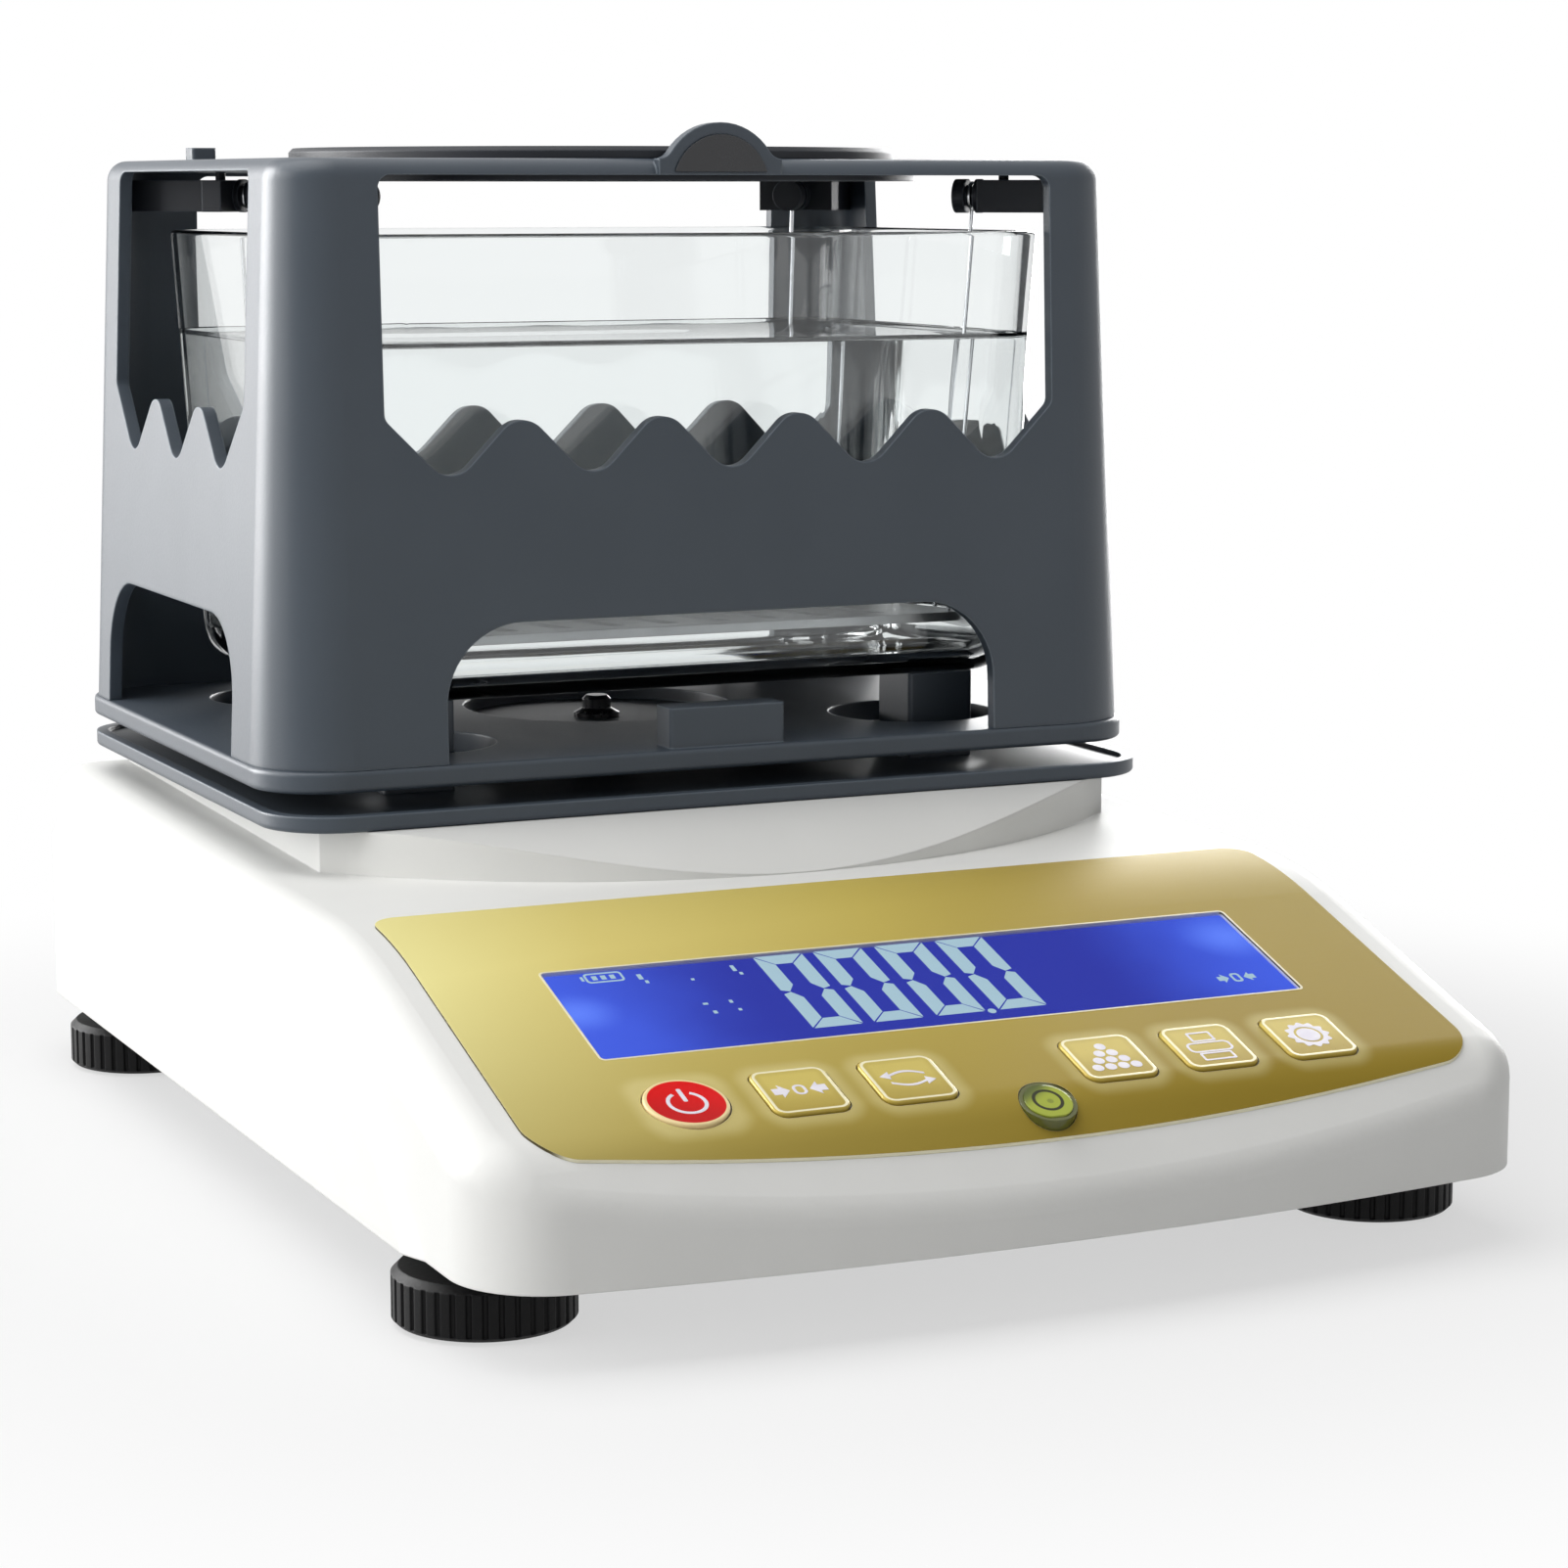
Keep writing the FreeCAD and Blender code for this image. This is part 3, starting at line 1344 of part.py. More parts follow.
drawPath(backWindow, notchedWindow(
    lengths["window_shift"], lengths["window_half_back"], lengths["notch_front"], 5,
    windowTop - lengths["front_lip"]))
pocket(shell, backWindow, size("shell_depth") / 2 + over)
sideWindow = newSketch(shell, "SideWindow", "YZ_Plane", rightFace)
drawPath(sideWindow, notchedWindow(
    lengths["rack_y"], lengths["window_half_side"], lengths["notch_side"], 3, windowTop))
pocket(shell, sideWindow, size("shell_width") + over * 2)
frontArch = newSketch(shell, "FrontArch", "XZ_Plane", -frontFace)
drawPath(frontArch, archPath(0.0, lengths["arch_half_front"]))
pocket(shell, frontArch, size("shell_depth") + over * 2)
sideArch = newSketch(shell, "SideArch", "YZ_Plane", rightFace)
drawPath(sideArch, archPath(lengths["rack_y"] + lengths["arch_side_shift"],
                            lengths["arch_half_side"]))
pocket(shell, sideArch, size("shell_width") + over * 2)
roofHole = newSketch(shell, "RoofHole", "XY_Plane", shellTop + over)
drawCircle(roofHole, (zero, rackY), size("roof_hole"))
pocket(shell, roofHole, size("roof_thick") + over * 2)

# Half-round tab over the front bar, with a shallow seat for a plain badge.
topFront = (rackY.value - lengths["shell_depth"] / 2
            + shellHigh.value * math.tan(math.radians(lengths["shell_taper"])))
tabFace = topFront - lengths["tab_proud"]
tabBody = newBody("tab_body")
tabSketch = newSketch(tabBody, "Outline", "XZ_Plane", -tabFace - lengths["tab_thick"])
tabRadius, tabCentre = lengths["tab_radius"], lengths["tab_centre"]
bendRadius = lengths["tab_fillet"]
bendZ = lengths["shell_top"] + bendRadius
bendX = math.sqrt((tabRadius + bendRadius) ** 2 - (bendZ - tabCentre) ** 2)
touch = (bendX * tabRadius / (tabRadius + bendRadius),
         tabCentre + (bendZ - tabCentre) * tabRadius / (tabRadius + bendRadius))
direction = math.atan2(touch[1] - bendZ, touch[0] - bendX)
mid = (direction - math.pi / 2) / 2
bendMid = (bendX + bendRadius * math.cos(mid), bendZ + bendRadius * math.sin(mid))
footZ = windowTop - lengths["front_lip"]
drawPath(tabSketch, [
    ((bendX, lengths["shell_top"]), bendMid, touch),
    (touch, (0.0, tabCentre + tabRadius), (-touch[0], touch[1])),
    ((-touch[0], touch[1]), (-bendMid[0], bendMid[1]), (-bendX, lengths["shell_top"])),
    ((-bendX, lengths["shell_top"]), (-bendX, footZ)), ((-bendX, footZ), (bendX, footZ)),
    ((bendX, footZ), (bendX, lengths["shell_top"]))])
pad(tabBody, tabSketch, size("tab_thick"))
badgeSeat = lyingCylinder("badge_seat",
                          (zero, asSize(tabFace) - over, size("tab_centre")),
                          size("badge_radius"), size("badge_thick") + over, (0, 1, 0))
badgeDrop = box("badge_drop", (-size("tab_radius") * 2, asSize(tabFace) - over * 2,
                               size("tab_centre") - size("tab_radius") * 2),
                (size("tab_radius") * 2, asSize(tabFace) + over * 2, size("badge_low")))
nubs = []
for label, side in (("left", -1), ("right", 1)):
    x = size("nub_x") * side
    nubs.append(roundPlate("nub_" + label, (x, size("nub_y")), size("nub_size"), size("nub_size"),
                           size("plate_edge"), shellTop - size("roof_thick"),
                           size("nub_high") - shellTop + size("roof_thick")))
shellAll = fuse("shell_all", [shell, tabBody] + nubs)
keep(cut("rack_shell", shellAll, cut("badge_seat_half", badgeSeat, badgeDrop)))
badgeDisc = lyingCylinder("badge_disc",
                          (zero, asSize(tabFace) - size("badge_proud"), size("tab_centre")),
                          size("badge_radius"), size("badge_thick") + size("badge_proud"), (0, 1, 0))
keep(cut("front_badge", badgeDisc, badgeDrop))

# Ring under the roof and the round weighing tray above it.
seatTop = shellTop - size("roof_thick")
topInner = (lengths["shell_depth"] / 2 - lengths["shell_wall"]
            - (shellHigh.value - lengths["roof_thick"]) * math.tan(math.radians(lengths["shell_taper"])))
seatDisc = cylinder("seat_disc", (zero, rackY, seatTop - size("seat_thick")),
                    size("seat_radius"), size("seat_thick"))
seatBore = cylinder("seat_bore", (zero, rackY, seatTop - size("seat_thick") - over),
                    size("seat_hole"), size("seat_thick") + over * 2)
trimHalf = asSize(topInner) - size("seat_gap")
seatTrim = box("seat_trim", (-size("seat_radius") - over, rackY - trimHalf, seatTop - over * 2),
               (size("seat_radius") + over, rackY + trimHalf, seatTop + over))
keep(common("tray_seat", cut("seat_ring", seatDisc, seatBore), seatTrim))

trayTop = shellTop + size("tray_thick")
tray = turned("weighing_tray", [
    (zero, trayTop - size("tray_dish_depth")), (size("tray_dish"), trayTop - size("tray_dish_depth")),
    (size("tray_dish") + size("tray_dish_depth"), trayTop),
    (size("tray_radius") - size("tray_dish_depth"), trayTop),
    (size("tray_radius"), trayTop - size("tray_dish_depth")), (size("tray_radius"), shellTop),
    (size("tray_lip_radius"), shellTop), (size("tray_lip_radius"), shellTop - size("tray_lip_deep")),
    (size("tray_lip_radius") - size("tray_lip_thick"), shellTop - size("tray_lip_deep")),
    (size("tray_lip_radius") - size("tray_lip_thick"), shellTop), (zero, shellTop)])
place(tray, (zero, rackY, zero))
keep(tray)

# Hook arms reaching in from the four corners, their wires, and the plate they carry.
sinkLow = size("sink_plate_low")
sinkTop = sinkLow + size("sink_plate_thick")
up = FreeCAD.Vector(0, 0, 1)
doc.recompute()


def solidNode(name, shape):
    item = doc.addObject("Part::Feature", name)
    item.Label = name
    item.Shape = shape
    return keep(item)


# Level beam of the hook arms, with its end at base and running outward.
def beam(base, outward, length, width):
    sideways = FreeCAD.Vector(-outward.y, outward.x, 0)
    ring = []
    for along, across in ((0, -1), (length, -1), (length, 1), (0, 1)):
        spot = base + outward * along + sideways * across * (width / 2)
        ring.append(FreeCAD.Vector(spot.x, spot.y, lengths["arm_low"]))
    return Part.Face(Part.makePolygon(ring + [ring[0]])).extrude(
        up * (lengths["arm_high"] - lengths["arm_low"]))


for label, sx, sy in rackPlaces:
    end = "front" if sy < 0 else "back"
    reach = lengths["arm_reach_" + end]
    knobAt = FreeCAD.Vector(lengths["knob_%s_x" % end] * sx,
                            lengths["tank_y"] + lengths["knob_y"] * sy, lengths["knob_height"])
    outward = FreeCAD.Vector(sx, sy, 0).normalize()
    headThick, neckLong = lengths["knob_head"], lengths["knob_neck"]
    headEnd = knobAt - outward * (headThick + neckLong / 2)
    head = Part.makeCylinder(lengths["knob_radius"], headThick, headEnd, outward)
    neckPart = Part.makeCylinder(lengths["knob_neck_radius"], neckLong,
                                 headEnd + outward * headThick, outward)
    barStart = headEnd + outward * (headThick + neckLong)
    collar = Part.makeCylinder(lengths["knob_radius"], lengths["knob_collar"], barStart, outward)
    base = barStart + outward * lengths["knob_collar"]
    bar = beam(base, outward, reach - (base - knobAt).Length, lengths["arm_width"])
    pinAt = base + outward * lengths["arm_pin_reach"]
    pinAt.z = lengths["arm_low"]
    pin = Part.makeCylinder(lengths["arm_pin_radius"], seatTop.value - pinAt.z, pinAt, up)
    pieces = [collar, neckPart, head, pin]
    if end == "back":
        pieces.append(beam(base, outward, lengths["arm_plate_thick"], lengths["arm_plate_width"]))
    arm = bar.fuse(pieces).cut(shell.Shape).removeSplitter()
    solidNode("hook_arm_" + label, max(arm.Solids, key=lambda solid: solid.Volume))

    thick = lengths["wire_radius"]
    loopRadius = lengths["knob_neck_radius"] + thick + lengths["wire_gap"]
    loop = Part.makeTorus(loopRadius, thick, knobAt, outward)
    upper = knobAt - up * loopRadius
    lower = FreeCAD.Vector(lengths["wire_foot_x"] * sx,
                           lengths["tank_y"] + lengths["wire_foot_y"] * sy, sinkLow.value)
    strand = Part.makeCylinder(thick, (lower - upper).Length, upper, lower - upper)
    bead = Part.makeSphere(lengths["wire_bead"], lower - up * lengths["wire_bead"])
    wire = strand.fuse([loop, bead]).removeSplitter()
    solidNode("hook_wire_" + label, wire)

tankY = size("tank_y")
sinkPlate = roundPlate("sink_plate", (zero, tankY), size("sink_plate_width"),
                       size("sink_plate_depth"), size("sink_corner"), sinkLow, sinkTop - sinkLow)
slot = newSketch(sinkPlate, "Slot", "XY_Plane", sinkTop)
slotReach = size("slot_pitch") * (size("slot_count") - 1)
drawRound(slot, (-slotReach / 2, tankY), size("slot_width"), size("slot_length"),
          size("slot_corner"))
firstSlot = pocket(sinkPlate, slot, sinkTop - sinkLow + over)
slots = sinkPlate.newObject("PartDesign::LinearPattern", "Slots")
slots.Originals = [firstSlot]
slots.Direction = (slot, ["H_Axis"])
slots.Length = slotReach.value
bind(slots, "Length", slotReach)
slots.Occurrences = int(lengths["slot_count"])
sinkPlate.Tip = slots
doc.recompute()
eyes = newSketch(sinkPlate, "Eyes", "XY_Plane", sinkTop)
for label, sx, sy in rackPlaces:
    drawCircle(eyes, (size("wire_foot_x") * sx, tankY + size("wire_foot_y") * sy),
               size("wire_radius") + size("wire_eye_gap"))
pocket(sinkPlate, eyes, sinkTop - sinkLow + over)
keep(sinkPlate)

# Glass tank: tapered rectangular trough with a rounded bottom edge.
tankLow, tankTop = size("tank_floor"), size("tank_top")
tank = roundPlate("glass_tank", (zero, tankY), size("tank_width"), size("tank_depth"),
                  size("tank_corner"), tankLow, tankTop - tankLow, size("tank_taper"))
fillet(tank, lambda edge: abs(edge.BoundBox.ZMax - tankLow.value) < near,
       size("tank_bottom_round"))
trough = newSketch(tank, "Trough", "XY_Plane", tankLow + size("tank_base"))
lift = size("tank_base") * Size(math.tan(math.radians(lengths["tank_taper"])),
                                "tan(Sizes.tank_taper * 1 deg)")
glass = size("tank_wall")
drawRound(trough, (zero, tankY), size("tank_width") - (glass - lift) * 2,
          size("tank_depth") - (glass - lift) * 2, size("tank_corner") - glass + lift)
basin = tank.newObject("PartDesign::Pocket", "Basin")
basin.Profile = trough
basin.Reversed = True
basin.Length = (tankTop - tankLow).value
bind(basin, "Length", tankTop - tankLow)
basin.TaperAngle = lengths["tank_taper"]
bind(basin, "TaperAngle", size("tank_taper"))
tank.Tip = basin
doc.recompute()
basinZ = (tankLow + size("tank_base")).value
fillet(tank, lambda edge: abs(edge.BoundBox.ZMax - basinZ) < near
       and abs(edge.BoundBox.ZMin - basinZ) < near, size("tank_bottom_round") - glass)
fillet(tank, lambda edge: abs(edge.BoundBox.ZMin - tankTop.value) < near, size("tank_rim_round"))
keep(tank)

# Circuit board on its posts, battery pack, and the two sockets at the rear.
boardLow = size("main_board_low")
boardHigh = boardLow + size("board_thick")
boardMiddleX = (size("main_board_left") + size("main_board_right")) / 2
boardMiddleY = (size("main_board_front") + size("main_board_back")) / 2
keep(roundPlate("main_board", (boardMiddleX, boardMiddleY),
                size("main_board_right") - size("main_board_left"),
                size("main_board_back") - size("main_board_front"), size("key_corner"),
                boardLow, size("board_thick")))
boardPosts = []
postInset = size("board_post_radius") * 2
for k, (x, y) in enumerate((
        (size("main_board_left") + postInset, size("main_board_front") + postInset),
        (size("main_board_right") - postInset, size("main_board_front") + postInset),
        (size("main_board_left") + postInset, size("main_board_back") - postInset),
        (size("main_board_right") - postInset, size("main_board_back") - postInset))):
    boardPosts.append(cylinder("board_post_%d" % k, (x, y, coverTop), size("board_post_radius"),
                               boardLow - coverTop))
keep(group("board_posts", boardPosts))
batteryBody = roundPlate(
    "battery_pack",
    ((size("battery_left") + size("battery_right")) / 2,
     (size("battery_front") + size("battery_back")) / 2),
    size("battery_right") - size("battery_left"), size("battery_back") - size("battery_front"),
    size("key_corner"), coverTop, size("battery_high") - coverTop)
fillet(batteryBody, lambda edge: edge.BoundBox.ZMin > coverTop.value + near
       and edge.BoundBox.ZMax - edge.BoundBox.ZMin < near, size("plate_edge"))
keep(batteryBody)

inletFront = backY - size("inlet_deep")
inletFace = backY - size("socket_set_back")
inletBarrel = lyingCylinder("inlet_barrel", (size("inlet_x"), inletFront, size("inlet_z")),
                            size("inlet_radius"), inletFace - inletFront, (0, 1, 0))
inletBore = lyingCylinder("inlet_bore",
                          (size("inlet_x"), inletFront + size("socket_set_back") * 2,
                           size("inlet_z")),
                          size("inlet_bore"), inletFace - inletFront, (0, 1, 0))
inletPin = lyingCylinder("inlet_pin", (size("inlet_x"), inletFront, size("inlet_z")),
                         size("inlet_pin"), inletFace - inletFront - size("socket_set_back"),
                         (0, 1, 0))
keep(fuse("power_inlet", [cut("inlet_cup", inletBarrel, inletBore), inletPin]))

serialFront = backY - size("serial_deep")
serialFace = backY - size("socket_set_back")
flangeBack = backY - size("housing_wall")
flange = box("serial_flange",
             (serialX - size("serial_width") / 2, serialFront, serialZ - size("serial_high") / 2),
             (serialX + size("serial_width") / 2, flangeBack, serialZ + size("serial_high") / 2))
shellHalf, shellTall = size("serial_shell_width") / 2, size("serial_shell_high") / 2
collarOut = box("serial_collar", (serialX - shellHalf, flangeBack, serialZ - shellTall),
                (serialX + shellHalf, serialFace, serialZ + shellTall))
thin = size("serial_wall")
mouth = box("serial_mouth",
            (serialX - shellHalf + thin, serialFace - size("serial_mouth_deep"),
             serialZ - shellTall + thin),
            (serialX + shellHalf - thin, serialFace + over, serialZ + shellTall - thin))
keep(cut("serial_port", fuse("serial_blank", [flange, collarOut]), mouth))

doc.recompute()
for item in doc.Objects:
    if "Invalid" in item.State or "Error" in item.State:
        raise ValueError("broken object " + item.Label)
for item in made:
    if item.Shape.isNull() or not item.Shape.isValid():
        raise ValueError("bad shape " + item.Label)
for item in made:
    item.Shape.exportStep("parts/%s.step" % item.Label)
    print(item.Label, len(item.Shape.Solids), round(item.Shape.Volume, 1))
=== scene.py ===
import bpy
import math
from mathutils import Matrix, Vector


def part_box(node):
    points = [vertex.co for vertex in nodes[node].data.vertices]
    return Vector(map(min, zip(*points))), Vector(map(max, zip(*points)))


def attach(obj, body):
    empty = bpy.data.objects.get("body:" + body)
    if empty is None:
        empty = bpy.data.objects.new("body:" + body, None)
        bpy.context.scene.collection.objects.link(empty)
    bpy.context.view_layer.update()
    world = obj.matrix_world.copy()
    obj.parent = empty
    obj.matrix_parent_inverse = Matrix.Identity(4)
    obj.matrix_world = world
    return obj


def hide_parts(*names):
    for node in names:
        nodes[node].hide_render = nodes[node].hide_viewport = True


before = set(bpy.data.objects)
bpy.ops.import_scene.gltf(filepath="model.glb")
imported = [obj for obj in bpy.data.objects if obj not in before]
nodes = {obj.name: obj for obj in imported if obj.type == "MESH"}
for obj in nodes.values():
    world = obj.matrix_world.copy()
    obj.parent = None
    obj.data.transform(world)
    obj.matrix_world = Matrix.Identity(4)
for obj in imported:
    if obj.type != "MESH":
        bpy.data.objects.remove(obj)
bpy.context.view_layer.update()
print("frame loaded with", len(nodes), "nodes")

mm = 0.001


# Colour in parts of 255, as seen on a screen, turned into the linear light that Blender takes.
def paint(red, green, blue):
    values = []
    for part in (red, green, blue):
        share = part / 255
        values.append(share / 12.92 if share <= 0.04045 else ((share + 0.055) / 1.055) ** 2.4)
    return (*values, 1.0)


# One output of a node, so that shader sums are written as plain sums.
class Wire:
    def __init__(self, finish, socket):
        self.finish = finish
        self.socket = socket

    def maths(self, operation, first, second=0.0):
        return self.finish.node("ShaderNodeMath", {"operation": operation}, {0: first, 1: second})

    def __add__(self, other):
        return self.maths("ADD", self, other)

    def __radd__(self, other):
        return self.maths("ADD", other, self)

    def __sub__(self, other):
        return self.maths("SUBTRACT", self, other)

    def __rsub__(self, other):
        return self.maths("SUBTRACT", other, self)

    def __mul__(self, other):
        return self.maths("MULTIPLY", self, other)

    def __rmul__(self, other):
        return self.maths("MULTIPLY", other, self)

    def __abs__(self):
        return self.maths("ABSOLUTE", self)

    def above(self, other):
        return self.maths("MAXIMUM", self, other)

    def below(self, other):
        return self.maths("MINIMUM", self, other)

    def root(self):
        return self.maths("SQRT", self)


# A node tree being filled, of a material or of the world.
class Finish:
    def __init__(self, owner):
        self.material = owner
        owner.use_nodes = True
        self.tree = owner.node_tree

    def node(self, kind, settings, values, output=0):
        made = self.tree.nodes.new(kind)
        for key, value in settings.items():
            if key == "stops":
                while len(made.color_ramp.elements) < len(value):
                    made.color_ramp.elements.new(0.5)
                for stop, (at, colour) in zip(made.color_ramp.elements, value):
                    stop.position = at
                    stop.color = colour
            else:
                setattr(made, key, value)
        for key, value in values.items():
            if isinstance(value, Wire):
                self.tree.links.new(value.socket, made.inputs[key])
            else:
                made.inputs[key].default_value = value
        return Wire(self, made.outputs[output])

    def spot(self):
        return self.node("ShaderNodeTexCoord", {}, {}, "Object")

    def axes(self, place):
        return [self.node("ShaderNodeSeparateXYZ", {}, {0: place}, k) for k in range(3)]

    def stretched(self, place, scale, turn=(0.0, 0.0, 0.0)):
        return self.node("ShaderNodeMapping", {}, {"Vector": place, "Scale": scale, "Rotation": turn})

    def noise(self, place, scale, detail=2.0):
        return self.node("ShaderNodeTexNoise", {}, {"Vector": place, "Scale": scale, "Detail": detail})

    def step(self, value, low, high):
        return self.node("ShaderNodeMapRange", {"interpolation_type": "SMOOTHSTEP"},
                         {"Value": value, "From Min": low, "From Max": high})

    def mix(self, share, first, second):
        return self.node("ShaderNodeMix", {"data_type": "RGBA"}, {0: share, 6: first, 7: second}, 2)

    def ramp(self, value, stops):
        return self.node("ShaderNodeValToRGB", {"stops": stops}, {0: value})

    # Normals that are rounded off near sharp edges.
    def soften(self, radius):
        return self.node("ShaderNodeBevel", {"samples": 6}, {"Radius": radius})

    # The same normals, and a mask of those edges.
    def edge(self, radius):
        soft = self.soften(radius)
        plain = self.node("ShaderNodeNewGeometry", {}, {}, "Normal")
        match = self.node("ShaderNodeVectorMath", {"operation": "DOT_PRODUCT"},
                          {0: soft, 1: plain}, "Value")
        return soft, self.step(1 - match, 0.015, 0.2)

    def bump(self, height, depth, normal):
        return self.node("ShaderNodeBump", {}, {
            "Strength": 1.0, "Distance": depth, "Height": height, "Normal": normal})

    # One where the camera, a reflection or clear glass sees the surface, else nought.
    def seen(self):
        camera, mirror, through = [
            self.node("ShaderNodeLightPath", {}, {}, "Is %s Ray" % kind)
            for kind in ("Camera", "Glossy", "Transmission")]
        return camera.above(mirror).above(through)

    def fix(self, values):
        for socket, value in values.items():
            self.tree.nodes["Principled BSDF"].inputs[socket].default_value = value

    def feed(self, socket, value, target="Principled BSDF"):
        self.tree.links.new(value.socket, self.tree.nodes[target].inputs[socket])


def newFinish(name, fixed):
    finish = Finish(bpy.data.materials.new(name))
    finish.fix(fixed)
    return finish


def wear(material, names):
    for name in names:
        slots = nodes[name].data.materials
        slots.clear()
        slots.append(material)


# Moulded plastic, rubber, paint or board: clouded colour, grained surface, and lighter edges, partly wear
# and partly a painted highlight.
def moulded(name, look):
    finish = newFinish(name, {
        "IOR": look.get("gloss", 1.46), "Specular IOR Level": look.get("shine", 0.5),
        "Coat Weight": look.get("coat", 0.0), "Coat Roughness": 0.12})
    place = finish.spot()
    grain = finish.noise(place, look["grain"], 3.0)
    cloud = finish.noise(place, look["cloud"], 2.0)
    soft, edgeWearAndHighlight = finish.edge(look["edge"])
    colour = finish.mix(finish.step(cloud, 0.3, 0.7), look["colour"], look["other"])
    # Edges take the pale edge colour by the look's "wear" share: partly wear, partly a painted highlight
    # where rounded edges catch the light.
    colour = finish.mix(edgeWearAndHighlight * look["wear"], colour, look["edgeWearAndHighlight"])
    finish.feed("Base Color", colour)
    finish.feed("Roughness", look["rough"] + (cloud - 0.5) * look["swing"] + (grain - 0.5) * 0.06)
    finish.feed("Normal", finish.bump(grain, look["depth"], soft))
    return finish.material


# Bare metal with fine lines along one axis, and lighter edges, partly wear and partly a painted highlight.
def brushed(name, look):
    finish = newFinish(name, {"Metallic": 1.0})
    place = finish.spot()
    lines = finish.noise(finish.stretched(place, look["stretch"]), look["grain"], 4.0)
    cloud = finish.noise(place, 60.0, 2.0)
    soft, edgeWearAndHighlight = finish.edge(look["edge"])
    colour = finish.mix(finish.step(cloud, 0.3, 0.7), look["colour"], look["other"])
    # Edges lightened halfway to the pale edge colour: partly wear, partly a painted highlight.
    finish.feed("Base Color", finish.mix(edgeWearAndHighlight * 0.5, colour, look["edgeWearAndHighlight"]))
    finish.feed("Roughness", look["rough"] + (lines - 0.5) * 0.18 + (cloud - 0.5) * 0.08)
    finish.feed("Normal", finish.bump(lines, look["depth"], soft))
    return finish.material


# In each look below, the pale edge colour and its "wear" share stand partly for wear and partly for a
# painted highlight along the edges.
housingLook = {
    "colour": paint(240, 240, 237), "other": paint(237, 237, 234), "edgeWearAndHighlight": paint(246, 246, 244),
    "grain": 900.0, "cloud": 35.0, "rough": 0.5, "swing": 0.08, "depth": 0.000012,
    "edge": 0.0005, "wear": 0.5, "shine": 0.3}
coverLook = {
    "colour": paint(203, 204, 202), "other": paint(197, 198, 197), "edgeWearAndHighlight": paint(220, 220, 218),
    "grain": 1400.0, "cloud": 40.0, "rough": 0.5, "swing": 0.1, "depth": 0.00003,
    "edge": 0.0004, "wear": 0.5}
slateLook = {
    "colour": paint(64, 73, 83), "other": paint(60, 69, 79), "edgeWearAndHighlight": paint(132, 144, 156),
    "grain": 1700.0, "cloud": 28.0, "rough": 0.42, "swing": 0.1, "depth": 0.000018,
    "edge": 0.0006, "wear": 0.7, "gloss": 1.5}
# Painted shade: a darker copy of the rack slate for the tray, its seat and the hook arms, so that they stay
# as dark as parts in shade.
shadedSlateLook = {
    "colour": paint(38, 41, 47), "other": paint(34, 37, 43), "edgeWearAndHighlight": paint(96, 104, 114),
    "grain": 1700.0, "cloud": 28.0, "rough": 0.5, "swing": 0.1, "depth": 0.000018,
    "edge": 0.0005, "wear": 0.6, "shine": 0.3}
badgeLook = {
    "colour": paint(30, 31, 36), "other": paint(26, 27, 31), "edgeWearAndHighlight": paint(70, 74, 82),
    "grain": 1500.0, "cloud": 60.0, "rough": 0.28, "swing": 0.08, "depth": 0.00001,
    "edge": 0.0003, "wear": 0.6, "coat": 0.3}
knobLook = {
    "colour": paint(10, 10, 11), "other": paint(7, 7, 8), "edgeWearAndHighlight": paint(40, 40, 43),
    "grain": 1300.0, "cloud": 90.0, "rough": 0.5, "swing": 0.14, "depth": 0.00004,
    "edge": 0.0004, "wear": 0.45, "shine": 0.2}
rubberLook = {
    "colour": paint(19, 19, 19), "other": paint(26, 26, 25), "edgeWearAndHighlight": paint(50, 50, 49),
    "grain": 1600.0, "cloud": 70.0, "rough": 0.78, "swing": 0.1, "depth": 0.00006,
    "edge": 0.0004, "wear": 0.6, "gloss": 1.35}
batteryLook = {
    "colour": paint(34, 37, 42), "other": paint(28, 31, 36), "edgeWearAndHighlight": paint(80, 84, 90),
    "grain": 1100.0, "cloud": 50.0, "rough": 0.5, "swing": 0.12, "depth": 0.00003,
    "edge": 0.0005, "wear": 0.5}
boardLook = {
    "colour": paint(24, 92, 52), "other": paint(18, 78, 44), "edgeWearAndHighlight": paint(170, 150, 90),
    "grain": 2400.0, "cloud": 160.0, "rough": 0.36, "swing": 0.14, "depth": 0.00002,
    "edge": 0.0003, "wear": 0.7, "coat": 0.3}

housingWhite = moulded("housing_white", housingLook)
coverGrey = moulded("cover_grey", coverLook)
rackSlate = moulded("rack_slate", slateLook)
shadedSlate = moulded("shaded_slate", shadedSlateLook)
badgeGrey = moulded("badge_grey", badgeLook)
knobBlack = moulded("knob_black", knobLook)
padRubber = moulded("pad_rubber", rubberLook)
batteryBlack = moulded("battery_black", batteryLook)
boardGreen = moulded("board_green", boardLook)

steelLook = {
    "colour": paint(176, 178, 180), "other": paint(160, 162, 165), "edgeWearAndHighlight": paint(214, 215, 216),
    "grain": 900.0, "stretch": (1.0, 14.0, 14.0), "rough": 0.32, "depth": 0.00001, "edge": 0.0002}
chromeLook = {
    "colour": paint(205, 207, 210), "other": paint(190, 192, 196), "edgeWearAndHighlight": paint(236, 237, 238),
    "grain": 1500.0, "stretch": (6.0, 6.0, 1.0), "rough": 0.16, "depth": 0.000006, "edge": 0.0002}
brassLook = {
    "colour": paint(196, 160, 84), "other": paint(178, 142, 70), "edgeWearAndHighlight": paint(232, 204, 140),
    "grain": 1200.0, "stretch": (8.0, 8.0, 1.0), "rough": 0.3, "depth": 0.00001, "edge": 0.0003}
